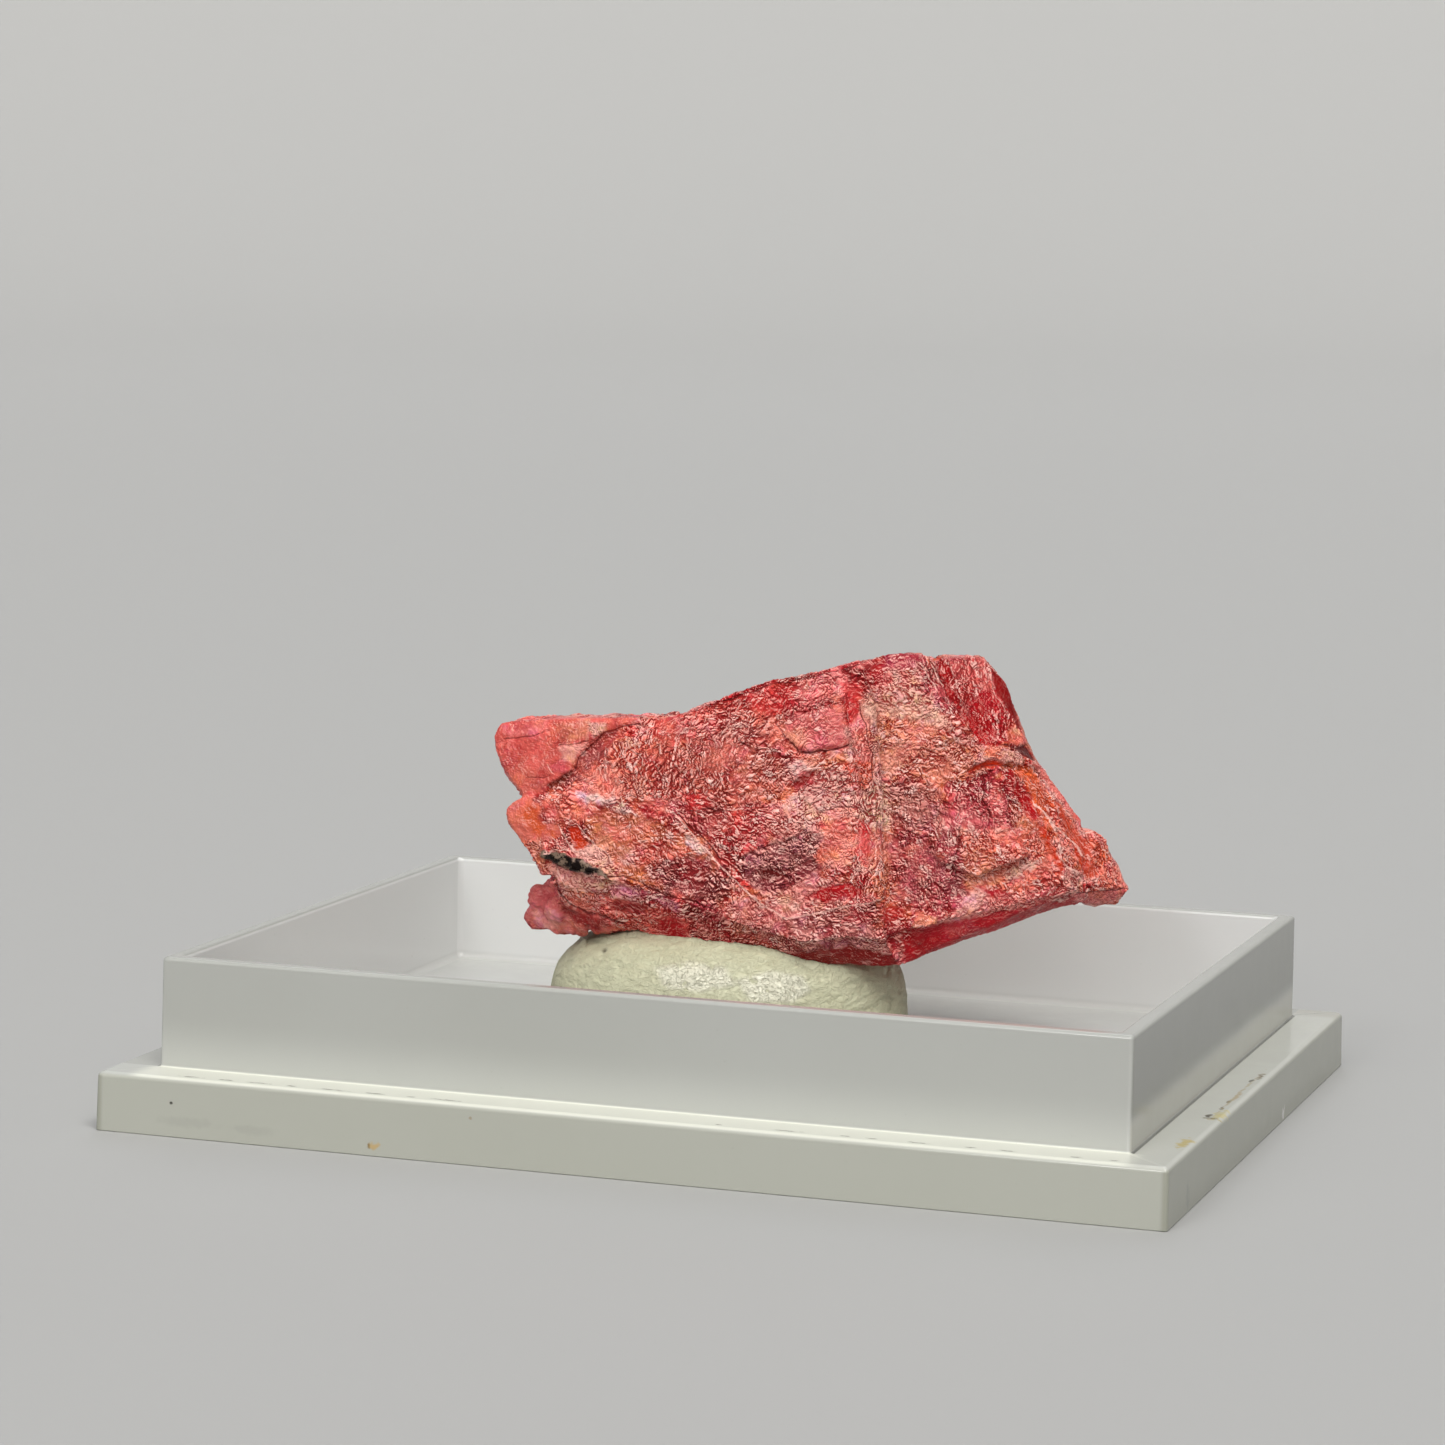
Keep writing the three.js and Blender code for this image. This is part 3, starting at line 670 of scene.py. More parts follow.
# Colour zones of the stone's shown side, painted in this order. Each has a colour, a strength, the
# width of its edge, how strong the folds are in it (None leaves them), how far it stands out in
# millimetres, and its outline. Widths and outlines are in the photograph's pixels.
ZONES = {
    "rough_middle": ("dusk", 0.8, 14, 1.0, 0.0, [
        (650, 740), (700, 725), (780, 740), (785, 790), (740, 815), (680, 808), (655, 790)]),
    "rough_top": ("rose", 0.7, 10, 1.0, 0.0, [
        (640, 722), (690, 708), (745, 692), (740, 715), (690, 735), (650, 742)]),
    "rough_left": ("salmon", 0.8, 12, 1.0, 0.0, [
        (549, 790), (580, 775), (612, 752), (650, 740), (655, 790), (600, 805), (560, 806)]),
    "slab": ("rose", 1.0, 4, 0.3, 0.05, [
        (480, 705), (600, 700), (640, 705), (640, 722), (603, 734), (581, 751), (573, 770), (547, 789),
        (520, 806), (490, 800), (480, 750)]),
    "slab_pink": ("pink", 0.8, 8, None, 0.0, [(502, 724), (548, 719), (546, 731), (506, 738)]),
    "slab_beige": ("beige", 0.7, 6, None, 0.0, [(557, 724), (592, 718), (590, 738), (560, 742)]),
    "slab_blush": ("blush", 0.8, 4, None, 0.0, [
        (561, 745), (592, 741), (578, 752), (573, 764), (561, 758)]),
    "slab_red": ("rose", 0.6, 9, None, 0.0, [(510, 742), (558, 744), (560, 762), (530, 768), (508, 760)]),
    "slab_tan": ("salmon", 0.7, 6, None, 0.0, [
        (506, 772), (530, 770), (545, 788), (522, 798), (510, 785)]),
    "slab_cream": ("cream", 0.9, 2.5, 0.8, 0.03, [(588, 722), (608, 723), (605, 731), (594, 737)]),
    "strip": ("garnet", 0.75, 3, 0.5, -0.08, [
        (617, 730), (603, 734), (593, 743), (581, 752), (577, 758), (573, 770), (565, 776), (547, 788),
        (551, 791), (572, 778), (588, 772), (598, 764), (606, 756), (613, 740)]),
    "strip_mauve": ("mauve", 0.3, 5, None, 0.0, [
        (584, 752), (600, 742), (606, 752), (588, 768), (578, 768)]),
    "strip_dark": ("umber", 0.8, 3, None, -0.04, [
        (546, 788), (564, 775), (576, 770), (570, 779), (551, 791)]),
    "red_top": ("red", 0.9, 7, 0.6, 0.0, [
        (742, 694), (770, 684), (797, 686), (794, 706), (775, 718), (750, 712)]),
    "red_top_left": ("pink", 0.8, 8, 1.0, 0.0, [(676, 719), (717, 715), (717, 735), (680, 738)]),
    "red_top_right": ("pink", 0.8, 8, 0.8, 0.0, [(797, 680), (840, 672), (843, 700), (800, 708)]),
    "pink_block": ("pink", 0.8, 6, 0.6, 0.04, [
        (783, 722), (792, 714), (843, 705), (846, 747), (798, 752), (788, 740)]),
    "pink_block_left": ("beige", 0.7, 5, 0.7, 0.0, [(785, 730), (806, 728), (808, 750), (793, 750)]),
    "pink_block_shadow": ("rose", 0.8, 2.5, 0.3, -0.05, [(814, 752), (832, 744), (848, 737), (850, 748)]),
    # beige_highlight is a painted highlight.
    "beige_highlight": ("white", 0.7, 5, 1.0, 0.02, [
        (785, 763), (800, 760), (808, 768), (795, 774), (785, 772)]),
    "orange_middle": ("ochre", 0.7, 8, 0.9, 0.0, [(808, 756), (845, 752), (848, 768), (815, 772)]),
    "gash": ("wine", 1.0, 2, 0.2, -0.16, [(790, 787), (797, 777), (815, 769), (813, 779), (799, 788)]),
    "red_over_vein": ("red", 0.9, 5, 0.6, -0.05, [
        (684, 794), (700, 792), (716, 806), (700, 811), (686, 810)]),
    "red_by_vein": ("garnet", 0.8, 8, 1.0, -0.05, [
        (690, 812), (720, 812), (742, 838), (737, 862), (716, 862), (704, 842)]),
    "salmon_middle": ("garnet", 0.45, 9, 0.9, 0.0, [
        (737, 818), (790, 808), (800, 832), (760, 848), (742, 846)]),
    "left_pale": ("salmon", 0.9, 6, 0.8, 0.0, [
        (540, 800), (552, 790), (580, 791), (602, 805), (590, 818), (566, 827), (545, 822)]),
    "tan": ("tan", 0.85, 8, 0.7, -0.05, [
        (586, 816), (609, 805), (625, 814), (674, 826), (669, 836), (647, 845), (627, 855), (618, 865),
        (602, 849), (589, 834)]),
    "tan_pink": ("salmon", 0.7, 8, 0.7, 0.0, [
        (606, 822), (640, 826), (660, 834), (640, 846), (612, 840)]),
    "salmon_low": ("salmon", 0.8, 8, 0.8, 0.0, [
        (632, 846), (672, 842), (690, 855), (660, 868), (640, 864)]),
    "tan_orange": ("ochre", 0.8, 7, 0.7, 0.0, [
        (618, 864), (660, 866), (662, 888), (640, 884), (618, 876)]),
    # white_band: pale strokes, partly painted highlights.
    "white_band": ("white", 0.75, 5, 1.0, 0.04, [
        (574, 792), (604, 796), (628, 804), (640, 816), (625, 813), (600, 805), (585, 802)]),
    "orange_lobe": ("salmon", 1.0, 3, 0.2, 0.0, [
        (490, 808), (514, 792), (540, 801), (542, 821), (560, 826), (563, 836), (554, 839), (529, 842),
        (510, 845), (500, 830)]),
    "orange_spot": ("orange", 0.85, 8, None, 0.0, [
        (518, 802), (539, 804), (541, 822), (555, 836), (530, 834)]),
    "orange_patch": ("ember", 0.9, 2, 0.25, -0.08, [
        (567, 826), (579, 827), (588, 843), (586, 848), (575, 850), (569, 838)]),
    "left_dusk": ("beige", 0.9, 4, 0.8, 0.0, [(529, 844), (541, 838), (546, 872), (535, 865)]),
    "mauve_left": ("plum", 0.9, 8, 0.9, -0.05, [
        (645, 868), (684, 855), (708, 857), (716, 876), (712, 892), (690, 896), (662, 884)]),
    "mauve_left_dark": ("wine", 0.6, 6, None, 0.0, [
        (676, 862), (700, 860), (706, 880), (690, 888), (678, 878)]),
    "mauve": ("mauve", 0.95, 3, 1.0, -0.1, [
        (737, 858), (757, 848), (785, 840), (808, 832), (824, 838), (814, 856), (820, 870), (792, 884),
        (771, 893), (753, 888), (740, 876)]),
    "mauve_low": ("plum", 0.9, 6, 0.8, 0.0, [(760, 880), (815, 864), (818, 872), (780, 890), (762, 890)]),
    "mauve_eye": ("maroon", 1.0, 3, 0.3, -0.08, [
        (755, 874), (766, 869), (785, 872), (776, 881), (760, 880)]),
    "low_streaks": ("garnet", 0.4, 9, 0.9, 0.0, [
        (785, 888), (830, 872), (862, 880), (860, 903), (820, 908), (790, 902)]),
    "red_smear": ("crimson", 1.0, 5, 0.3, -0.05, [
        (805, 897), (822, 888), (850, 884), (864, 890), (860, 897), (830, 902)]),
    "pink_right": ("salmon", 0.6, 8, 0.9, 0.0, [
        (824, 812), (850, 806), (858, 828), (850, 870), (835, 880), (822, 850)]),
    "red_streak": ("red", 0.8, 6, 0.5, -0.05, [
        (856, 818), (870, 822), (872, 862), (864, 875), (857, 850)]),
    "rib": ("red", 0.55, 6, 0.7, 0.0, [
        (842, 682), (862, 680), (868, 722), (876, 770), (870, 786), (856, 760), (848, 720)]),
    "rib_low": ("ember", 0.7, 6, 0.8, 0.0, [(845, 760), (872, 765), (870, 790), (850, 785)]),
    "rim_crimson": ("crimson", 0.8, 5, 0.7, -0.05, [
        (872, 662), (890, 656), (892, 680), (876, 690), (866, 676)]),
    "rim_pink": ("magenta", 1.0, 5, 0.5, 0.0, [
        (884, 640), (928, 640), (926, 662), (905, 670), (885, 666)]),
    "salmon_wrinkled": ("beige", 0.75, 12, 1.0, 0.0, [
        (872, 732), (905, 722), (950, 730), (985, 748), (990, 770), (960, 782), (900, 784), (876, 776)]),
    "beige_up": ("cream", 0.85, 8, 0.9, 0.05, [
        (862, 702), (870, 688), (895, 684), (928, 700), (948, 716), (960, 731), (927, 727), (905, 718),
        (888, 718), (868, 726)]),
    "groove_strokes": ("magenta", 0.7, 4, 1.0, 0.0, [
        (914, 662), (938, 662), (958, 700), (962, 712), (946, 714), (926, 694)]),
    "crimson_groove": ("crimson", 1.0, 2.5, 0.55, -0.12, [
        (936, 655), (947, 655), (952, 673), (959, 701), (978, 722), (998, 744), (986, 745), (966, 722),
        (954, 703), (948, 695), (941, 678)]),
    "crest": ("crimson", 0.75, 3, 0.7, 0.0, [
        (947, 645), (985, 640), (1004, 655), (1018, 684), (1030, 708), (1034, 730), (1010, 742),
        (998, 744), (974, 716), (959, 700), (952, 673)]),
    "crest_blush": ("rose", 0.3, 8, None, 0.0, [
        (955, 656), (985, 654), (992, 672), (975, 690), (962, 680)]),
    "crest_low": ("crimson", 0.7, 8, None, 0.0, [
        (968, 704), (980, 700), (1002, 722), (1000, 740), (990, 738)]),
    "crest_edge": ("wine", 1.0, 2, 0.1, -0.06, [
        (991, 667), (998, 668), (1012, 690), (1018, 710), (1026, 728), (1020, 727), (1009, 712),
        (999, 692)]),
    "crest_chip": ("salmon", 0.95, 2, 0.4, 0.05, [
        (1007, 731), (1016, 725), (1030, 740), (1026, 746), (1010, 744)]),
    # chip_light: a painted highlight on the chip's tip.
    "chip_light": ("cream", 0.8, 2, None, 0.0, [(1013, 729), (1017, 726), (1021, 735), (1016, 736)]),
    "notch": ("maroon", 1.0, 2, 0.05, -0.12, [(1015, 747), (1029, 745), (1040, 762), (1024, 755)]),
    "ledge": ("blush", 0.9, 3, 0.8, 0.1, [
        (972, 768), (983, 744), (1004, 748), (1016, 753), (1026, 758), (1022, 764), (1004, 763),
        (991, 760), (980, 765)]),
    "ledge_red": ("orange", 0.7, 4, None, 0.0, [
        (984, 745), (1000, 749), (1000, 760), (990, 758), (982, 756)]),
    "orange_lens": ("ember", 1.0, 1.5, 0.05, -0.12, [
        (968, 774), (980, 765), (991, 761), (1012, 765), (995, 767), (983, 769)]),
    "grey_brown": ("brown", 0.85, 10, 1.0, 0.0, [
        (882, 784), (915, 780), (948, 788), (945, 824), (915, 830), (888, 822)]),
    "magenta": ("magenta", 0.8, 10, 1.0, 0.0, [
        (943, 784), (985, 776), (1015, 790), (1018, 822), (985, 832), (945, 828)]),
    "smooth_pink": ("pink", 0.6, 5, 0.7, 0.04, [
        (989, 782), (1000, 786), (1009, 806), (1004, 826), (993, 820), (988, 800)]),
    "strip_red": ("crimson", 1.0, 4, 0.6, -0.08, [
        (1000, 770), (1013, 769), (1028, 789), (1040, 812), (1034, 822), (1020, 803), (1008, 788)]),
    "strip_orange": ("orange", 0.95, 5, 0.6, 0.0, [
        (1015, 765), (1031, 766), (1046, 786), (1060, 808), (1046, 826), (1040, 812), (1028, 789)]),
    "strip_deep": ("ember", 1.0, 4, 0.3, -0.1, [
        (1034, 822), (1046, 826), (1058, 850), (1066, 868), (1060, 878), (1050, 868), (1042, 845)]),
    "strip_pale": ("salmon", 0.7, 4, 0.9, 0.02, [
        (1048, 806), (1060, 812), (1080, 844), (1084, 862), (1072, 866), (1060, 848)]),
    "strip_deep_right": ("ember", 0.85, 3, 0.35, -0.08, [
        (1056, 800), (1064, 804), (1088, 842), (1104, 876), (1090, 880), (1078, 856), (1066, 826)]),
    "edge_salmon": ("rose", 0.8, 4, 0.4, 0.06, [
        (1034, 764), (1046, 768), (1076, 794), (1098, 824), (1084, 830), (1066, 804), (1046, 782)]),
    "orange_beige": ("beige", 0.8, 8, 1.0, 0.0, [
        (1018, 816), (1036, 822), (1044, 846), (1028, 852), (1012, 840)]),
    "salmon_strokes": ("salmon", 1.0, 10, 0.9, 0.0, [
        (960, 834), (1036, 830), (1058, 866), (1064, 884), (1010, 896), (965, 890)]),
    "beige_strokes": ("cream", 1.0, 5, 0.8, 0.05, [(1003, 872), (1034, 860), (1036, 868), (1008, 882)]),
    "orange_low": ("beige", 0.9, 9, 0.8, 0.0, [
        (958, 852), (985, 850), (1004, 872), (1000, 884), (965, 886)]),
    "orange_smear": ("crimson", 0.9, 5, 0.3, 0.0, [(975, 886), (1004, 890), (1012, 898), (985, 898)]),
    "purple": ("purple", 0.75, 10, 1.0, 0.0, [
        (885, 832), (955, 828), (962, 860), (968, 896), (930, 908), (890, 905)]),
    "plum_spot": ("plum", 0.7, 5, 0.5, 0.0, [(944, 882), (966, 880), (970, 895), (950, 898)]),
    "beige_band": ("cream", 1.0, 6, 1.0, 0.0, [
        (868, 786), (884, 784), (892, 806), (890, 830), (872, 832), (864, 810)]),
    "beige_band_low": ("beige", 0.6, 8, 0.9, 0.0, [(870, 832), (890, 830), (888, 880), (874, 885)]),
    "tip": ("salmon", 0.9, 5, 0.8, 0.0, [
        (1081, 826), (1108, 820), (1124, 850), (1140, 892), (1115, 908), (1085, 900), (1100, 876),
        (1088, 842)]),
    "tip_orange": ("orange", 0.7, 5, 0.8, 0.0, [(1088, 840), (1102, 838), (1108, 864), (1100, 868)]),
    "tip_low": ("pink", 0.8, 3, 0.5, -0.05, [
        (1071, 898), (1089, 892), (1127, 889), (1120, 905), (1080, 906)]),
    "bottom_band": ("pink", 0.6, 5, 0.85, 0.0, [
        (985, 900), (1064, 886), (1074, 899), (1028, 908), (960, 920), (950, 914)]),
    "bevel_right": ("crimson", 0.9, 3, 0.2, 0.0, [
        (905, 932), (958, 920), (1028, 908), (1074, 899), (1090, 905), (1070, 925), (982, 950),
        (938, 975), (905, 980)]),
    "junction": ("crimson", 0.8, 6, 0.6, -0.05, [
        (882, 905), (905, 908), (912, 935), (895, 960), (884, 935)]),
    "chip": ("beige", 0.9, 1.5, 0.8, 0.06, [(910, 929), (918, 910), (939, 917), (937, 924)]),
    "chip_small": ("blush", 0.8, 1.5, 0.8, 0.04, [(956, 913), (965, 897), (986, 903), (980, 909)]),
    "striated": ("plum", 0.6, 8, 1.0, 0.0, [
        (775, 912), (830, 905), (880, 902), (888, 930), (870, 950), (800, 952), (780, 940)]),
    "lower_mauve": ("garnet", 0.65, 9, 1.0, 0.0, [
        (690, 914), (720, 905), (752, 898), (785, 920), (800, 950), (760, 965), (715, 960), (690, 950)]),
    "underside": ("wine", 1.0, 3, 0.2, -0.05, [
        (780, 955), (850, 948), (895, 956), (900, 980), (840, 980), (785, 975)]),
    "bevel_left": ("rose", 0.95, 3, 0.85, 0.0, [
        (596, 892), (618, 900), (651, 907), (669, 912), (690, 923), (690, 950), (656, 950), (637, 936),
        (609, 926), (574, 914), (574, 902)]),
    "bevel_deep": ("wine", 0.9, 7, 0.3, -0.05, [
        (615, 900), (648, 908), (646, 914), (620, 914), (610, 908)]),
    "bevel_deep_right": ("crimson", 0.95, 7, 0.3, -0.05, [
        (660, 916), (688, 924), (686, 942), (664, 942), (656, 928)]),
    "bevel_pink": ("salmon", 0.9, 4, 0.95, 0.0, [
        (557, 903), (574, 892), (596, 890), (600, 902), (585, 910)]),
    # bevel_light: painted highlights below the black inclusion.
    "bevel_light": ("blush", 0.9, 2.5, 1.0, 0.0, [
        (570, 876), (584, 875), (600, 880), (614, 886), (610, 892), (592, 887), (576, 884)]),
    "knob": ("pink", 0.8, 3, 0.15, 0.0, [
        (500, 875), (535, 872), (552, 880), (562, 906), (574, 913), (600, 920), (590, 945), (520, 945),
        (500, 915)]),
    "knob_side": ("salmon", 0.8, 4, 0.2, 0.0, [
        (566, 908), (600, 918), (618, 926), (600, 940), (570, 930)]),
    "knob_shade": ("wine", 0.85, 4, 0.3, 0.0, [
        (557, 897), (566, 908), (584, 914), (606, 919), (612, 926), (594, 930), (574, 922), (560, 912)]),
    # knob_lights: painted highlights on the knob's bumps.
    "knob_lights": ("blush", 0.6, 5, None, 0.0, [
        (530, 912), (548, 908), (566, 922), (558, 932), (536, 928)]),
    "under_black": ("blush", 0.8, 4, 0.6, 0.03, [
        (546, 862), (600, 880), (612, 888), (596, 893), (560, 890)]),
    "white_chips": ("cream", 1.0, 2, 0.8, 0.04, [
        (574, 882), (590, 882), (611, 879), (610, 885), (588, 890)]),
    "white_pink": ("orchid", 1.0, 5, 0.9, 0.05, [
        (645, 894), (660, 896), (680, 902), (678, 911), (660, 904)]),
    "band_pink": ("orchid", 0.8, 4, 0.9, 0.0, [(609, 887), (640, 890), (642, 897), (612, 896)]),
    "vein_patch": ("white", 0.85, 3, 0.8, 0.03, [
        (684, 833), (698, 840), (710, 853), (700, 855), (686, 846)]),
    "inclusion": ("black", 1.0, 2.4, 0.0, 0.05, [
        (544, 849), (549, 852), (562, 853), (575, 857), (584, 860), (593, 866), (606, 872), (611, 878),
        (596, 876), (582, 874), (566, 871), (556, 865), (546, 860), (539, 857), (540, 851)]),
}

# Which way the folds run on the shown side, in degrees up from the photograph's right, and where.
FOLDS_RUN = 165
RUNS = {
    "upper_left": (88, [(585, 790), (600, 745), (650, 728), (740, 735), (735, 790), (660, 800)]),
    "top": (22, [(640, 725), (680, 690), (790, 660), (850, 690), (780, 730), (700, 742)]),
    "middle": (8, [(735, 790), (742, 738), (850, 700), (862, 790), (800, 812), (745, 815)]),
    "slab": (112, [(480, 690), (620, 695), (640, 722), (600, 738), (575, 770), (545, 792), (480, 800)]),
    "lobe": (133, [(485, 800), (545, 790), (560, 835), (545, 870), (490, 850)]),
    "lower_left": (150, [(545, 830), (575, 812), (640, 815), (690, 845), (640, 880), (560, 885)]),
    "vein": (137, [(672, 806), (690, 800), (740, 850), (760, 895), (735, 895), (705, 860)]),
    "low": (12, [(640, 895), (700, 890), (770, 935), (760, 965), (690, 960), (640, 940)]),
    "low_middle": (150, [(745, 892), (800, 885), (845, 905), (840, 950), (790, 950)]),
    "rib": (86, [(842, 690), (886, 720), (892, 900), (850, 905), (852, 800)]),
    "right_top": (170, [(886, 690), (935, 690), (985, 745), (985, 790), (880, 800)]),
    "right_middle": (143, [(888, 800), (945, 795), (945, 905), (890, 905)]),
    "right_inner": (117, [(935, 785), (990, 775), (1000, 850), (945, 850)]),
    "right_low": (155, [(950, 850), (1050, 840), (1075, 895), (960, 915)]),
    "strips": (132, [(985, 768), (1040, 755), (1115, 830), (1140, 900), (1080, 890), (1000, 810)]),
    "crest": (112, [(918, 655), (985, 635), (1020, 680), (1045, 745), (985, 748), (940, 700)]),
    "bevel": (14, [(890, 925), (1060, 890), (1100, 905), (940, 975), (880, 975)]),
}
ALONG_FOLDS, ACROSS_FOLDS = 1.10, 1.32    # how the folds are drawn out along their run
ALONG_GRAIN, ACROSS_GRAIN = 0.88, 1.40    # the same for the flakes between them
HIDDEN_RUNS = [(0.9, 0.15, 0.4), (0.3, 0.5, -0.8), (0.25, 0.95, 0.2), (-0.6, 0.7, 0.4)]
LIT_REACH = 0.085                         # between a fold and its light side, in millimetres

# Directions across the cleavages, and how far apart their steps are, in millimetres, and a seed.
CLEAVAGES = [((0.25, 0.95, 0.2), 1.1, 51), ((0.85, 0.1, 0.52), 1.6, 52), ((-0.1, -0.25, 0.96), 1.3, 53)]

# Lines on the shown side: colour, strength, half width in pixels, height in millimetres and path.
LINES = {
    "slab_crack": ("wine", 0.8, 1.0, -0.05, [(506, 739), (519, 737), (528, 736), (547, 732)]),
    "slab_line": ("wine", 0.7, 1.0, -0.05, [(561, 744), (574, 744), (591, 740)]),
    "slab_arc": ("wine", 0.6, 1.2, -0.04, [(530, 777), (543, 779), (551, 776)]),
    "slab_pale": ("white", 0.6, 1.0, 0.02, [(547, 766), (553, 774)]),
    "strip_edge": ("maroon", 0.7, 1.3, -0.06, [
        (575, 770), (578, 756), (594, 742), (604, 733), (618, 728), (640, 723)]),
    "lower_crack": ("maroon", 1.0, 1.3, -0.12, [
        (609, 876), (623, 876), (637, 881), (651, 888), (665, 895), (681, 899), (700, 905), (712, 911)]),
    "vein": ("white", 0.9, 1.4, 0.04, [
        (673, 811), (681, 821), (692, 834), (703, 847), (714, 859), (724, 870), (738, 884), (751, 897),
        (765, 908)]),
    "vein_dark": ("maroon", 1.0, 1.3, -0.06, [(680, 815), (692, 828), (706, 842), (718, 856)]),
    "vein_ring": ("white", 0.7, 1.0, 0.03, [(681, 821), (686, 826), (681, 831), (676, 826), (681, 821)]),
    "middle_crease": ("maroon", 0.7, 1.4, -0.06, [(684, 810), (702, 809), (722, 812)]),
    "upper_crease": ("wine", 0.6, 1.3, -0.05, [(742, 742), (757, 752), (752, 768), (760, 780)]),
    # Painted shadow: a dark line under the pink block, along a groove.
    "pink_block_under": ("wine", 0.9, 1.6, -0.12, [(790, 743), (798, 753), (822, 752), (848, 746)]),
    "pink_block_left_edge": ("maroon", 0.6, 1.2, -0.05, [(776, 722), (786, 738), (796, 750)]),
    "orange_crease": ("wine", 0.7, 1.3, -0.05, [(822, 812), (838, 806), (856, 808), (870, 818)]),
    "rib_shadow": ("maroon", 0.9, 1.0, -0.05, [
        (860, 706), (866, 730), (872, 752), (873, 776), (866, 785), (852, 782), (838, 787)]),
    "groove_line": ("maroon", 0.7, 1.2, -0.08, [(936, 668), (948, 693), (955, 702)]),
    "top_rim_line": ("wine", 0.8, 1.0, -0.06, [
        (676, 714), (700, 707), (740, 695), (770, 685), (815, 676), (860, 665)]),
    "top_rim": ("crimson", 0.9, 2.6, 0.0, [
        (678, 713), (700, 705), (740, 692), (770, 682), (815, 673), (860, 662)]),
    "mauve_top": ("maroon", 0.7, 1.4, -0.06, [(742, 856), (762, 848), (790, 839), (810, 833)]),
    "mauve_fold": ("maroon", 0.8, 1.6, -0.08, [
        (756, 871), (772, 868), (790, 872), (800, 864), (816, 860)]),
    "dark_curve": ("wine", 0.8, 1.2, -0.08, [(985, 778), (985, 803), (993, 818)]),
    "purple_edge": ("wine", 0.7, 1.6, -0.08, [(960, 830), (957, 857), (952, 868), (966, 895)]),
    "low_red_line": ("crimson", 0.6, 1.4, -0.05, [(800, 908), (830, 899), (862, 888)]),
    "pale_streak": ("cream", 0.9, 1.9, 0.05, [(1049, 822), (1060, 830), (1073, 841), (1085, 854)]),
    "pale_streak_up": ("blush", 0.9, 1.7, 0.04, [(1036, 804), (1047, 817), (1056, 832)]),
    "pale_streak_low": ("cream", 0.8, 1.7, 0.04, [(1060, 857), (1069, 867), (1079, 874)]),
    "pale_square": ("white", 0.9, 2.0, 0.05, [(1061, 845), (1062, 853)]),
    "crest_white": ("white", 0.45, 1.0, 0.03, [(990, 674), (998, 697), (1007, 712)]),
    # Painted shadow: dark lines under the crest and under the ledge, along grooves.
    "crest_under": ("maroon", 0.9, 1.2, -0.08, [(1004, 745), (1015, 748), (1027, 746)]),
    "ledge_under": ("maroon", 0.7, 1.0, -0.08, [(984, 768), (992, 766), (1010, 766)]),
    "tip_crease": ("wine", 0.8, 1.1, -0.08, [(1069, 898), (1089, 892), (1111, 892), (1126, 889)]),
    "tip_top": ("cream", 0.7, 1.6, 0.04, [(1084, 833), (1094, 830), (1107, 834)]),
    "cleavage_1": ("white", 0.9, 1.0, 0.03, [(560, 827), (571, 849)]),
    "cleavage_2": ("white", 0.8, 0.9, 0.03, [(553, 838), (560, 847)]),
    "cleavage_3": ("white", 0.9, 1.1, 0.03, [(579, 826), (591, 840), (602, 850)]),
    "cleavage_4": ("blush", 0.7, 0.9, 0.02, [(605, 852), (612, 862)]),
    "cleavage_5": ("cream", 0.9, 0.9, 0.02, [(558, 870), (565, 884)]),
    "inclusion_glint": ("white", 1.0, 1.5, 0.04, [(543, 854), (549, 853)]),
    "cleavage_6": ("blush", 0.8, 0.9, 0.02, [(545, 851), (566, 850), (582, 852), (590, 857)]),
    # Painted shade: a dark line along the bevel's lower edge, along a groove.
    "bevel_edge": ("maroon", 0.75, 1.9, -0.14, [
        (555, 878), (559, 894), (569, 906), (585, 913), (609, 919), (622, 925)]),
    "bottom_ledge": ("blush", 0.6, 1.6, 0.06, [
        (751, 896), (768, 908), (785, 919), (830, 910), (880, 900)]),
    "groove_pale_1": ("white", 0.9, 1.0, 0.04, [(922, 664), (937, 690)]),
    "groove_pale_2": ("white", 0.9, 1.1, 0.04, [(931, 664), (943, 684)]),
    "groove_pale_3": ("blush", 0.8, 0.9, 0.03, [(918, 672), (940, 706)]),
    "groove_dark": ("maroon", 0.8, 1.0, -0.05, [(926, 664), (940, 692), (950, 704)]),
}

# Fine lines are drawn by the material: what it calls them, and the colours of theirs above. The dark
# ones are cracks and creases, some of them painted shadow; the pale ones are veins and flake edges,
# some of them painted highlights.
LINE_COLOURS = {"ink": ("maroon", "wine", "umber"), "chalk": ("white", "cream", "blush")}

# Where the outline is moved: a place and its reach in pixels, then how far right and up, in mm.
NUDGES = [
    (587, 927, 15, 0.0, -0.36), (595, 925, 11, 0.0, -0.34), (607, 921, 17, 0.0, -0.44),
    (640, 932, 24, 0.0, 0.30), (682, 937, 60, 0.0, -0.42),
    (740, 946, 60, 0.0, -0.50), (795, 954, 55, 0.0, -0.36), (840, 961, 40, 0.0, -0.12),
    (886, 960, 45, 0.0, -0.40), (1000, 930, 60, 0.0, -0.08), (1080, 903, 14, 0.0, -0.12),
    (1118, 898, 18, 0.15, 0.0), (1114, 862, 26, -0.22, 0.0), (545, 713, 50, 0.0, -0.15),
    (600, 712, 50, 0.0, -0.20), (652, 711, 50, 0.0, -0.22), (790, 674, 50, 0.0, 0.08),
    (850, 658, 50, 0.0, 0.16), (1000, 685, 36, 0.22, 0.10), (495, 745, 40, -0.13, 0.0),
    (508, 830, 40, -0.10, 0.0), (540, 880, 16, -0.25, 0.0), (525, 925, 22, 0.0, 0.20),
]

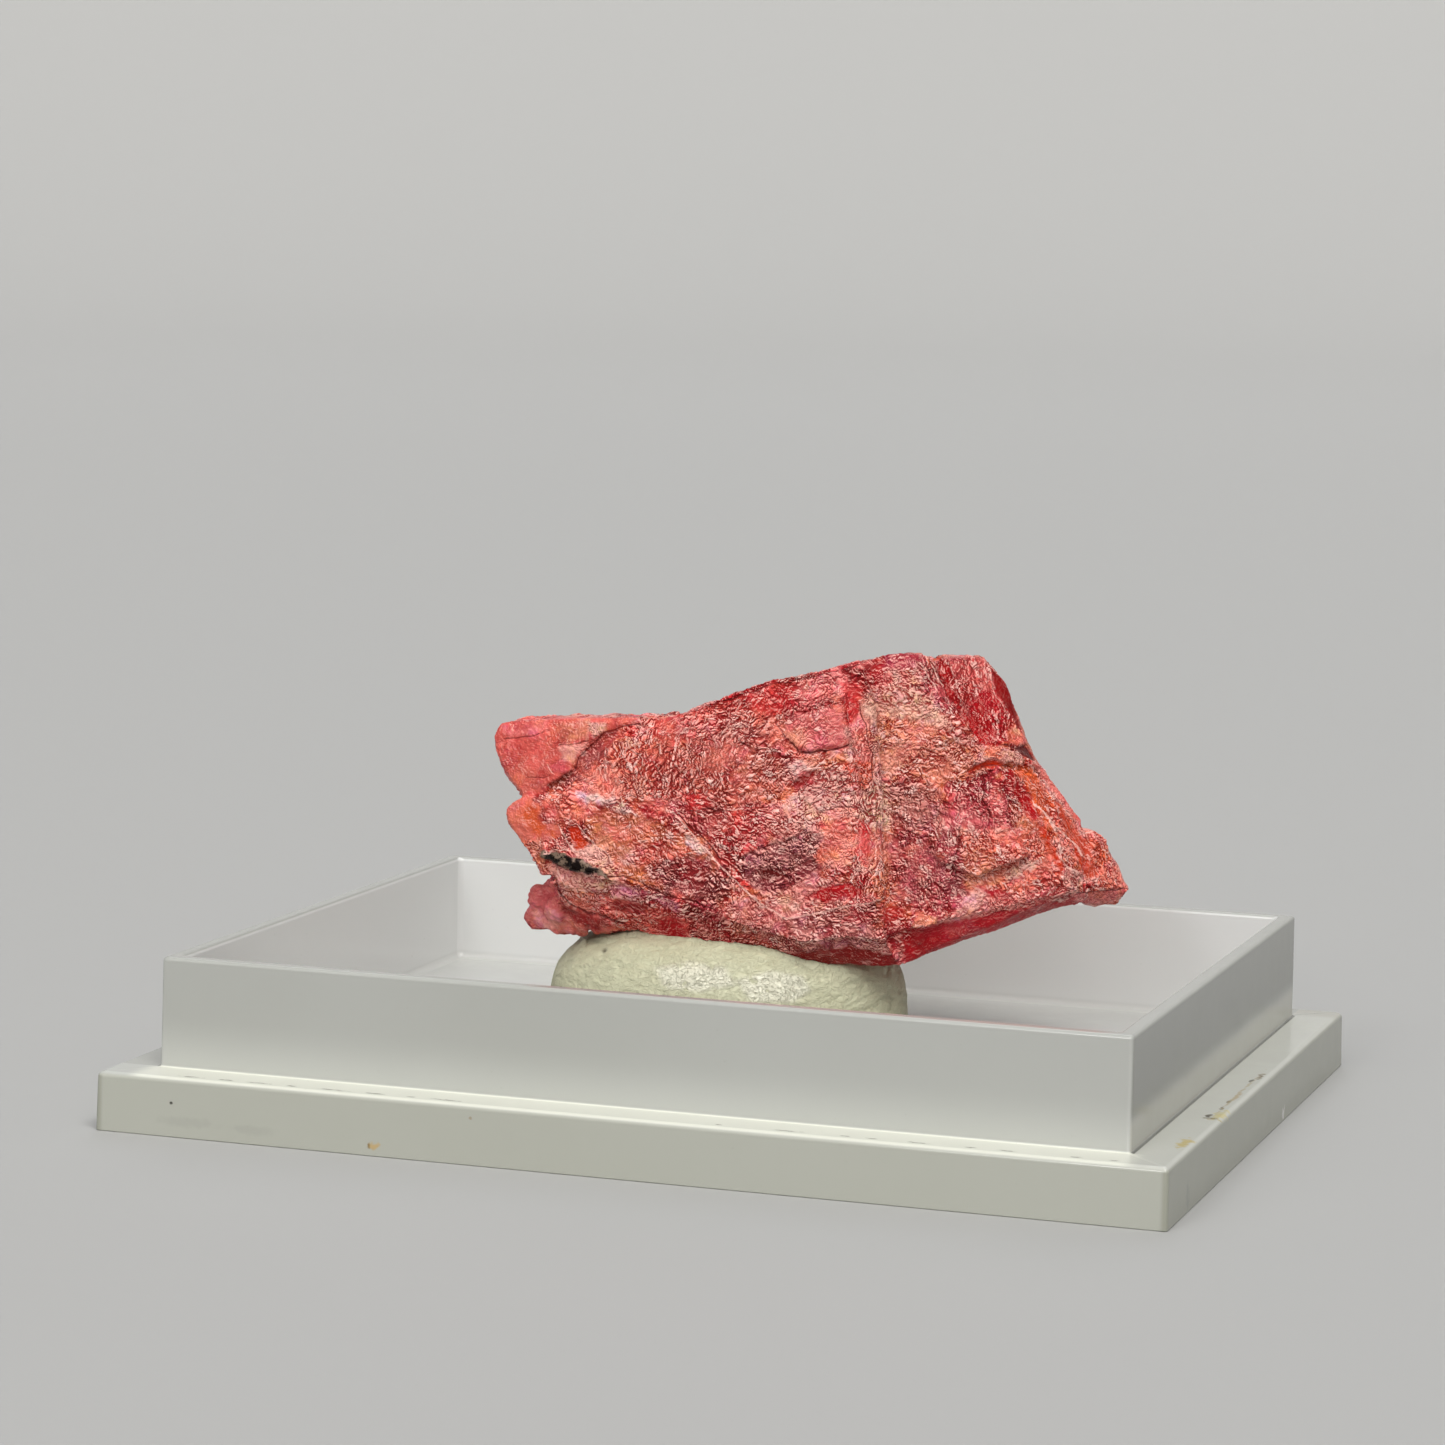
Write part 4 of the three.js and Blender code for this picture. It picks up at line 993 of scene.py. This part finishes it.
# Colours of the sides that the photograph doesn't show: each where its own noise is high.
BLOTCHES = ["rose", "crimson", "tan", "mauve", "pink", "red", "ochre", "magenta", "salmon", "wine", "blush"]
GLOSS = 0.032                    # what the gloss adds to a shown colour
PAINT_GAIN = (1.42, 1.22, 1.22)  # from a shown colour without its gloss to the surface's own
OUTLINE_WANDER = 2.2             # how far the zones' outlines wander about, in pixels
WANDER_CELL = 18.0               # and over what length
RAGGED_CELL = 9.0                # the size of the nicks in their edges, in pixels
RELIEF_EDGE = 1.2                # how far either side of an outline its relief starts, in pixels
FAR_OFF = (9.0, 9.0, 0.0)        # where no fine line is near: see paint_zones

# Heights and depths of the stone's relief, in millimetres.
LUMP_HEIGHT, CHIP_HEIGHT, FOLD_HEIGHT, KNOB_HEIGHT, BLACK_HEIGHT = 0.10, 0.05, 0.12, 0.16, 0.12
CRACK_DEPTH, SKIN_INSET = 0.14, 0.04


def near_outline(across, down, outline, margin):
    """The numbers of the points within a margin of an outline's own rectangle."""
    low, high = np.min(outline, axis=0) - margin, np.max(outline, axis=0) + margin
    return np.nonzero((across > low[0]) & (across < high[0]) & (down > low[1]) & (down < high[1]))[0]


def segment_distance(across, down, x0, y0, x1, y1):
    run, fall = x1 - x0, y1 - y0
    share = np.clip(((across - x0) * run + (down - y0) * fall) / (run * run + fall * fall), 0.0, 1.0)
    return np.hypot(across - x0 - share * run, down - y0 - share * fall)


def path_distance(across, down, path):
    pairs = zip(path, path[1:])
    return np.min([segment_distance(across, down, *start, *end) for start, end in pairs], axis=0)


def path_sides(across, down, path):
    """How far each point is from a path, and which side of it is its own: 1 or -1."""
    nearest, side = np.full(len(across), np.inf), np.ones(len(across))
    for (x0, y0), (x1, y1) in zip(path, path[1:]):
        distance = segment_distance(across, down, x0, y0, x1, y1)
        turn = np.where((x1 - x0) * (down - y0) > (y1 - y0) * (across - x0), 1.0, -1.0)
        side = np.where(distance < nearest, turn, side)
        nearest = np.minimum(nearest, distance)
    return nearest, side


def outline_depth(across, down, outline):
    """How far inside an outline each point is: negative outside."""
    closed = [*outline, outline[0]]
    inside = np.zeros(len(across), bool)
    for (x0, y0), (x1, y1) in zip(closed, closed[1:]):
        if y0 != y1:
            beside = across < (x1 - x0) * (down - y0) / (y1 - y0) + x0
            inside ^= ((y0 > down) != (y1 > down)) & beside
    distance = path_distance(across, down, closed)
    return np.where(inside, distance, -distance)


def stone_blank():
    """The stone's solid as an even mesh, in millimetres, in its own frame: x along the broad face,
    y into the stone, z up."""
    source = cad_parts["rhodonite"].data.copy()
    set_points(source, turned(points_of(source) / MM, -STONE_TURN))
    welded = with_modifier(source, "WELD", merge_threshold=0.0005)
    mesh = with_modifier(welded, "REMESH", mode="VOXEL", voxel_size=STONE_CELL)
    relaxed(mesh, 0.5, 2)
    mesh.materials.clear()
    return mesh


def to_frame(points):
    """Points of the stone's own frame, in metres in the row frame."""
    return turned(points, STONE_TURN) * MM


def nudged(points):
    """The stone's points, moved a little where its outline strays from the photographed one."""
    across, down = photo_place(to_frame(points))
    right, up, _ = turned(np.array(camera_axes()), -STONE_TURN)
    moved = points.copy()
    for x, y, reach, rightward, upward in NUDGES:
        share = smoothstep(reach, 0.0, np.hypot(across - x, down - y))
        moved += share[:, None] * (rightward * right + upward * up)
    return moved


def drawn_out(tree, along, across):
    """Places on the stone, scaled one way along the run of the folds and another way across it."""
    place, run = tree.vector("place"), tree.vector("run")
    level = tree.vmath("DOT_PRODUCT", place, run, output="Value")
    extra = tree.times(run, tree.math("MULTIPLY", level, along - across))
    return tree.moved(tree.scaled(place, across), extra)


def fold_field(tree, shift=(0.0, 0.0, 0.0)):
    """The stone's skin of fine folds: 0 in the creases between them, 1 on their crests."""
    place = tree.moved(drawn_out(tree, ALONG_FOLDS, ACROSS_FOLDS), shift)
    bent = tree.moved(place, tree.scaled(tree.drift(place, scale=0.8), 1.2))
    coarse = tree.noise(bent, scale=2.15, detail=2.0, roughness=0.6)
    coarse = tree.smooth(tree.from_middle(coarse), 0.0, 0.14)
    fine = tree.smooth(tree.from_middle(tree.noise(bent, scale=4.1, detail=1.0)), 0.0, 0.12)
    fineness = tree.smooth(tree.noise(place, scale=0.3, detail=1.0), 0.40, 0.60, 0.20, 0.65)
    return tree.blend(fineness, coarse, fine)


def fold_run(points, normals, across, down, shown):
    """The direction that the folds take at each point, in the stone's frame."""
    ways = unit(np.array(HIDDEN_RUNS))
    ranks = [Noise(60 + number)(points / 4.0 + 9.0 * number) - 2.0 * (np.abs(normals @ way) > 0.7)
             for number, way in enumerate(ways)]
    run = ways[np.argmax(ranks, axis=0)]
    right, up, forward = turned(np.array(camera_axes()), -STONE_TURN)
    front = shown > 0.5
    regions = [(FOLDS_RUN, front)]
    for degrees, outline in RUNS.values():
        regions.append((degrees, front & (outline_depth(across, down, outline) > 0.0)))
    for degrees, inside in regions:
        if inside.any():
            angle = math.radians(degrees)
            flat = math.cos(angle) * right + math.sin(angle) * up
            normal = unit(normals[inside].mean(axis=0))
            run[inside] = unit(flat - forward * (flat @ normal) / (forward @ normal))
    return run


def terraced(points, normals):
    """How far each point moves for the cleavage steps: flats and short rises along each direction."""
    move = np.zeros_like(points)
    for direction, spacing, seed in CLEAVAGES:
        direction = unit(np.array(direction))
        level = points @ direction / spacing + 0.55 * Noise(seed).fractal(points / 5.0, 3)
        part = level - np.floor(level)
        snapped = smoothstep(0.38, 0.62, part) - part
        move += (0.42 * spacing * snapped * np.abs(normals @ direction))[:, None] * direction
    return move


def shown_share(points, normals):
    """How far each point takes the shown side's zones: 1 where the camera sees it, 0 round the back."""
    eye = turned(np.array([CAMERA_PLACE]) / MM, -STONE_TURN)[0]
    facing = np.sum(normals * unit(eye - points), axis=1)
    near_front = smoothstep(-1.0, -3.4, points[:, 1])
    return np.clip(smoothstep(-0.02, 0.14, facing) + 0.7 * near_front, 0.0, 1.0) * (facing > -0.6)


def paint(tint, near, colour, share):
    """Mixes a colour of the palette into the tints of some points, by its share at each."""
    tint[near] += share[:, None] * (linear(PALETTE[colour]) - tint[near])


def hidden_tint(points):
    """Blotches of the stone's colours, for the back, the top and the underside."""
    stretched = points * (0.18, 0.22, 0.22) + 5.0
    tint = np.tile(linear(PALETTE["dusk"]), (len(points), 1))
    for number, colour in enumerate(BLOTCHES):
        share = 0.9 * smoothstep(0.14, 0.36, Noise(40 + number).fractal(stretched, 4, gain=0.6))
        paint(tint, slice(None), colour, share)
    return tint


def paint_zones(points, normals):
    """The stone's colour, folds, fine lines, relief, black inclusion and knob at each point."""
    count = len(points)
    shown = shown_share(points, normals)
    across, down = photo_place(to_frame(points))
    spot = np.stack((across, down, points[:, 1] * 6.0), axis=1)
    across, down = (level + OUTLINE_WANDER * Noise(seed).fractal(spot / WANDER_CELL, 3)
                    for level, seed in ((across, 21), (down, 22)))
    ragged = Noise(23).fractal(spot / RAGGED_CELL, 3, gain=0.7)
    smooth_places = smoothstep(-0.25, 0.30, Noise(24).fractal(points / 4.5, 2))
    tint = hidden_tint(points)
    fold_share = 1.0 - (1.0 - shown) * 0.7 * smooth_places
    lift = np.zeros(count)
    special = {"inclusion": np.zeros(count), "knob": np.zeros(count)}
    # How many half widths off the nearest fine line of each kind is, with its side's sign and without,
    # and its strength.
    lines = {name: np.tile(FAR_OFF, (count, 1)) for name in LINE_COLOURS}
    for name, (colour, strength, soft, folds, height, outline) in ZONES.items():
        near = near_outline(across, down, outline, 3.0 * soft)
        depth = outline_depth(across[near], down[near], outline)
        cover = shown[near] * smoothstep(-soft * 0.5, soft * 0.5, depth + 0.6 * soft * ragged[near])
        paint(tint, near, colour, strength * cover)
        edge = shown[near] * smoothstep(-RELIEF_EDGE, RELIEF_EDGE, depth)
        lift[near] += height * edge
        if folds is not None:
            fold_share[near] += edge * (folds - fold_share[near])
        if name in special:
            special[name][near] = cover if name == "inclusion" else edge
    for colour, strength, half_width, height, path in LINES.values():
        near = near_outline(across, down, path, 6.0 + 2.0 * half_width)
        distance, side = path_sides(across[near], down[near], path)
        broken = strength * shown[near] * smoothstep(-0.9, -0.2, ragged[near])
        lift[near] += height * shown[near] * smoothstep(half_width * 1.8, 0.0, distance)
        drawn = [name for name, colours in LINE_COLOURS.items() if colour in colours]
        if drawn:
            field = lines[drawn[0]]
            reach = distance / half_width
            nearer = reach < field[near, 1]
            field[near[nearer]] = np.stack((reach * side, reach, broken), axis=1)[nearer]
        else:
            paint(tint, near, colour, broken * smoothstep(half_width * 1.4, half_width * 0.4, distance))
    gain = 0.68 + 0.34 * fold_share
    matt = np.maximum(tint - GLOSS, 0.12 * tint)
    return {
        "tint": np.minimum(matt * PAINT_GAIN * gain[:, None], 0.95),
        "fold_share": fold_share,
        "lift": lift,
        "black": special["inclusion"],
        "knob": special["knob"],
        "shown": shown,
        "run": fold_run(points, normals, across, down, shown),
        **lines,
    }


def lit_side(run, normals):
    """The way from a fold to its light side: across its run, and up or to the left."""
    side = unit(np.cross(run, normals))
    return side * np.where(side @ (-0.35, -0.3, 0.9) < 0.0, -1.0, 1.0)[:, None]


def make_stone():
    mesh = stone_blank()
    points = nudged(points_of(mesh))
    normals = normals_of(mesh)
    skin = paint_zones(points, normals)
    hidden = 1.0 - skin["shown"]
    lumps = Noise(11).fractal(points / 3.6, 3)
    chips = Noise(12).fractal(points / 1.1, 3)
    cracks = np.abs(Noise(15).fractal(points / 4.0, 3))
    cracks += 0.5 * smoothstep(0.1, -0.2, Noise(16)(points / 5.0))
    cracks = hidden * smoothstep(0.05, 0.0, cracks)
    calm = 0.35 + 0.65 * skin["fold_share"]
    height = LUMP_HEIGHT * lumps + calm * CHIP_HEIGHT * chips - SKIN_INSET
    height = height + skin["lift"] - CRACK_DEPTH * cracks
    points += normals * height[:, None] + terraced(points, normals) * (0.06 + 0.94 * hidden)[:, None]
    skin["tint"] *= (1.0 - 0.55 * cracks)[:, None]
    set_points(mesh, points)
    skin["place"] = points
    skin["lit"] = ACROSS_FOLDS * LIT_REACH * lit_side(skin["run"], normals)
    for name in ("place", "run", "lit", "tint", "fold_share", "black", *LINE_COLOURS):
        add_values(mesh, name, skin[name])
    folds = measured(mesh, fold_field)
    normals = normals_of(mesh)
    lobes = np.sqrt(np.minimum(2.4 * np.abs(Noise(14)(points / 0.50)), 1.0))
    bumps = Noise(13).fractal(points / 0.5, 2)
    height = (FOLD_HEIGHT * skin["fold_share"] * (folds - 0.8) + BLACK_HEIGHT * skin["black"] * bumps
              + KNOB_HEIGHT * skin["knob"] * (lobes - 0.75))
    points = points + normals * height[:, None]
    points[:, 2] = np.minimum(points[:, 2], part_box("rhodonite")[1].z / MM)
    set_points(mesh, to_frame(points))
    mesh = thinned(mesh, 0.25 + 0.75 * skin["shown"], STONE_TRIANGLES)
    given_to_faces(mesh, "run")
    mesh.shade_smooth()
    mesh.materials.append(stone_material())
    stone = new_object("rhodonite_finish", mesh)
    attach(stone, "root")
    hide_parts("rhodonite")
    return stone


def stone_material():
    """Rhodonite: rose to crimson, glassy on its cleavages, with dark creases and pale flakes. Painted
    shade darkens the creases and the folds' sides away from the light, and painted highlights pale the
    folds' sides towards the light and the glints.
    """
    material, tree, surface = new_material("rhodonite")
    place, tint, black = tree.vector("place"), tree.vector("tint"), tree.value("black")
    grain = drawn_out(tree, ALONG_GRAIN, ACROSS_GRAIN)
    calm = tree.smooth(tree.noise(place, scale=0.5, detail=3.0), 0.38, 0.56, 0.60, 1.25)
    fold_share = tree.product(tree.value("fold_share"), calm)

    mottle = tree.noise(place, scale=0.55, detail=5.0, roughness=0.7)
    hue = tree.parts(tree.noise(place, scale=0.9, detail=5.0, roughness=0.68, output=1))
    wander = tree.drift(grain, scale=1.3)
    flake, tilt = tree.flakes(tree.moved(grain, tree.scaled(wander, 0.7)), 2.7)
    slab, slab_tilt = tree.flakes(tree.moved(place, tree.scaled(wander, 0.8)), 0.85)
    colour = tint
    for share, factors in ((tree.smooth(mottle, 0.47, 0.66), (1.22, 1.30, 1.32)),
                           (tree.smooth(mottle, 0.50, 0.30), (0.68, 0.46, 0.48)),
                           (tree.smooth(hue[0], 0.50, 0.66), (1.04, 1.12, 0.82)),
                           (tree.smooth(hue[1], 0.50, 0.66), (1.0, 0.92, 1.30)),
                           (tree.smooth(hue[2], 0.52, 0.66), (0.88, 0.60, 0.66)),
                           (tree.smooth(tree.parts(slab)[0], 0.0, 1.0, 0.0, 0.5), (0.80, 0.66, 0.68))):
        colour = tree.tinted(colour, share, factors)

    folds = fold_field(tree)
    # slope: how far the folds fall away towards their light side, high where they face the light.
    slope = tree.math("SUBTRACT", folds, fold_field(tree, shift=tree.vector("lit")))
    chance = tree.parts(flake)
    tone = tree.sum(slope, tree.product(tree.math("SUBTRACT", chance[0], 0.5), 0.75))
    # Painted highlight: pale on the folds' sides that face the light, and on pale flakes.
    pale = tree.product(tree.smooth(tone, 0.06, 0.46), fold_share)
    # Painted highlights: pale glints, also less rough, on the brightest flakes.
    specks = tree.noise(grain, scale=0.7, detail=2.0, roughness=0.6)
    bright = tree.sum(tree.product(tone, 0.4), tree.sum(chance[1], specks))
    glint = tree.product(tree.smooth(bright, 1.40, 1.56), fold_share)
    # Painted shade: dark in the creases and on the folds' sides away from the light.
    crease = tree.math("MAXIMUM", tree.smooth(folds, 0.10, 0.45, 1.0, 0.0), tree.smooth(tone, -0.12, -0.55))
    crease = tree.product(crease, fold_share)
    dark = tree.mix(1.0, tint, (0.36, 0.08, 0.09, 1.0), blend="MULTIPLY")
    # The black inclusion's paler olive-brown spots: partly its own colour, partly painted glints.
    lights = tree.noise(place, scale=2.0, detail=4.0, roughness=0.65)
    layers = [(tree.product(pale, 0.74), shade("#ffb3a8")), (tree.product(glint, 0.90), shade("#ffc6bc")),
              (tree.product(crease, 0.92), dark)]
    # Fine lines: the dark ones partly painted shadow, the pale ones partly painted highlights.
    for name, line_colour in (("ink", "#6a1719"), ("chalk", "#ffc6ba")):
        offset, reach, strength = tree.parts(tree.vector(name))
        share = tree.product(tree.smooth(tree.math("ABSOLUTE", offset), 0.85, 0.30), strength,
                             tree.smooth(reach, 3.4, 2.4))
        layers.append((share, shade(line_colour)))
    layers.append((tree.product(tree.smooth(lights, 0.46, 0.58, 0.0, 0.88), black), shade("#8a7464")))
    for share, layer in layers:
        colour = tree.mix(share, colour, layer)

    rough = tree.smooth(tree.noise(place, scale=0.9, detail=3.0), 0.35, 0.65, 0.24, 0.42)
    rough = tree.blend(glint, tree.blend(crease, rough, 0.75), 0.12)
    relief = tree.product(tree.sum(folds, tree.product(tilt, 0.7)), fold_share)
    relief = tree.sum(relief, tree.product(slab_tilt, 1.2))
    fine = tree.noise(place, scale=6.0, detail=3.0, roughness=0.6)
    tree.fill(surface, {
        "Base Color": colour,
        "Roughness": tree.blend(black, rough, 0.22),
        "Specular IOR Level": 0.17,
        "Specular Tint": (1.0, 0.68, 0.64, 1.0),
        "IOR": 1.65,
        "Normal": tree.bump(fine, 0.02, Normal=tree.bump(relief, 0.10)),
    })
    return material


# ---- Tack ---------------------------------------------------------------------------------------

# Half of the lump's outline, as fractions of its radius and of its height.
TACK_OUTLINE = [(0, 0), (0.5, 0), (0.9, 0), (0.97, 0.1), (1, 0.3), (0.995, 0.5), (0.96, 0.66),
                (0.89, 0.79), (0.77, 0.9), (0.6, 0.97), (0.35, 1), (0, 1)]
# The shiny places are also painted paler: painted highlights.
TACK_SHINE = [                   # pressed, shiny places, in the photograph's pixels
    [(655, 968), (690, 962), (725, 968), (735, 985), (700, 992), (665, 988)],
    [(736, 981), (770, 971), (802, 976), (811, 990), (794, 1002), (752, 1002)],
]
TACK_SPECK = (604, 950)          # a dark pit, in the photograph's pixels
DENT_HEIGHT, CREASE_DEPTH, GRAIN_HEIGHT, SPECK_DEPTH, TACK_INSET = 0.16, 0.10, 0.034, 0.10, 0.02  # mm


def smooth_curve(points, count):
    """A Catmull-Rom curve through the points, with this many points to each stretch."""
    points = np.array(points, float)
    padded = np.vstack((2 * points[0] - points[1], points, 2 * points[-1] - points[-2]))
    curve = []
    for p0, p1, p2, p3 in zip(padded, padded[1:], padded[2:], padded[3:]):
        for t in np.arange(count) / count:
            curve.append(0.5 * (2 * p1 + (p2 - p0) * t + (2 * p0 - 5 * p1 + 4 * p2 - p3) * t * t
                                + (3 * p1 - p0 - 3 * p2 + p3) * t ** 3))
    curve.append(points[-1])
    return np.array(curve)


def tack_blank():
    """The lump as rings of points, in millimetres in the row frame."""
    around = 300
    curve = smooth_curve(TACK_OUTLINE, 14)[1:-1]
    angles = 2 * np.pi * np.arange(around) / around
    height = TACK_TOP - FLOOR_TOP
    rings = np.stack((TACK_RADIUS[0] * np.outer(curve[:, 0], np.cos(angles)),
                      TACK_RADIUS[1] * np.outer(curve[:, 0], np.sin(angles)),
                      np.repeat(curve[:, 1:] * height, around, axis=1)), axis=2)
    points = np.vstack(([(0, 0, 0)], rings.reshape(-1, 3), [(0, 0, height)]))
    points = turned(points, STONE_TURN) + (*TACK_CENTRE, FLOOR_TOP)
    faces = ring_faces(1, len(curve), around)
    last = 1 + (len(curve) - 1) * around
    for i in range(around):
        j = (i + 1) % around
        faces.append((0, 1 + j, 1 + i))
        faces.append((last + i, last + j, len(points) - 1))
    mesh = bpy.data.meshes.new("mineral_tack_finish")
    mesh.from_pydata(points.tolist(), [], faces)
    mesh.update()
    return mesh


def press_under(points, stone):
    """Presses the lump's top against the stone's underside, a little into it so that no gap shows."""
    stone_tree = BVHTree.FromPolygons([tuple(v) for v in points_of(stone.data) / MM],
                                      [tuple(face.vertices) for face in stone.data.polygons])
    lowest, sunk, reach = FLOOR_TOP + 3.0, 0.04, 0.75
    for point in points:
        if point[2] < lowest:
            continue
        hit = stone_tree.ray_cast((point[0], point[1], FLOOR_TOP), (0, 0, 1))[0]
        if hit is not None:
            gap = hit.z + sunk - point[2]
            point[2] += gap * smoothstep(reach, 0.0, gap)


def make_tack(stone):
    mesh = tack_blank()
    points = points_of(mesh)
    normals = normals_of(mesh)
    flat_bottom = smoothstep(FLOOR_TOP, FLOOR_TOP + 0.8, points[:, 2])
    around = turned(points, -STONE_TURN)
    dents = Noise(31).fractal(around / (4.2, 4.2, 3.0), 2)
    creases = np.abs(Noise(32).fractal(around / (2.4, 2.4, 0.9), 3))
    grains = Noise(33).fractal(around / 0.55, 3)
    height = DENT_HEIGHT * dents - CREASE_DEPTH * np.exp(-creases / 0.07) + GRAIN_HEIGHT * grains
    points += normals * (flat_bottom * (height - TACK_INSET))[:, None]
    across, down = photo_place(points * MM)
    shine = np.zeros(len(points))
    for outline in TACK_SHINE:
        shine = np.maximum(shine, smoothstep(-4.0, 4.0, outline_depth(across, down, outline)))
    eye = np.array(CAMERA_PLACE) / MM
    shine *= np.sum(normals * unit(eye - points), axis=1) > 0.2
    speck = smoothstep(3.2, 1.0, np.hypot(across - TACK_SPECK[0], down - TACK_SPECK[1]))
    speck *= points[:, 1] < TACK_CENTRE[1]
    points -= normals * (SPECK_DEPTH * speck)[:, None]
    press_under(points, stone)
    points[:, 2] = np.maximum(points[:, 2], FLOOR_TOP + 0.005)
    set_points(mesh, points * MM)
    add_values(mesh, "grain", around)
    add_values(mesh, "shine", shine)
    add_values(mesh, "speck", speck)
    mesh.shade_smooth()
    mesh.materials.append(tack_material())
    tack = new_object("mineral_tack_finish", mesh)
    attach(tack, "root")
    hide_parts("mineral_tack")


def tack_material():
    """Mineral tack: off-white putty with a fine kneaded skin, shiny where it was pressed, with painted
    highlights there.
    """
    material, tree, surface = new_material("mineral_tack")
    place = tree.vector("grain")
    clouds = tree.noise(place, scale=0.35, detail=4.0, roughness=0.6)
    colour = tree.mix(tree.smooth(clouds, 0.35, 0.7), shade("#c4c4a7"), shade("#bdbc9e"))
    grit = tree.noise(place, scale=3.5, detail=4.0, roughness=0.7)
    colour = tree.mix(tree.smooth(grit, 0.54, 0.70, 0.0, 0.40), colour, shade("#96917a"))
    crackle = tree.from_middle(tree.noise(place, scale=3.2, detail=4.0, roughness=0.7))
    patch = tree.product(tree.value("shine"), tree.smooth(crackle, 0.004, 0.018),
                         tree.smooth(tree.noise(place, scale=1.5, detail=4.0), 0.30, 0.42))
    # Painted highlight: paler in the shiny patches.
    colour = tree.mix(tree.product(patch, 0.85), colour, shade("#e6e4d0"))
    colour = tree.mix(tree.value("speck"), colour, shade("#5d5948"))
    bent = tree.moved(place, tree.scaled(tree.noise(place, scale=0.8, detail=2.0, output=1), 0.8))
    skin = tree.noise(tree.scaled(bent, (1.0, 1.0, 1.6)), scale=1.6, detail=5.0, roughness=0.65)
    normal = tree.bump(tree.smooth(tree.from_middle(skin), 0.0, 0.10), 0.034)
    normal = tree.bump(tree.noise(place, scale=9.0, detail=3.0), 0.012, Normal=normal)
    tree.fill(surface, {
        "Base Color": colour,
        "Roughness": tree.blend(patch, 0.55, 0.32),
        "IOR": 1.5,
        "Normal": tree.bump(patch, 0.03, Normal=normal),
    })
    return material


make_camera()
make_floor()
make_lights()
make_box()
make_tack(make_stone())
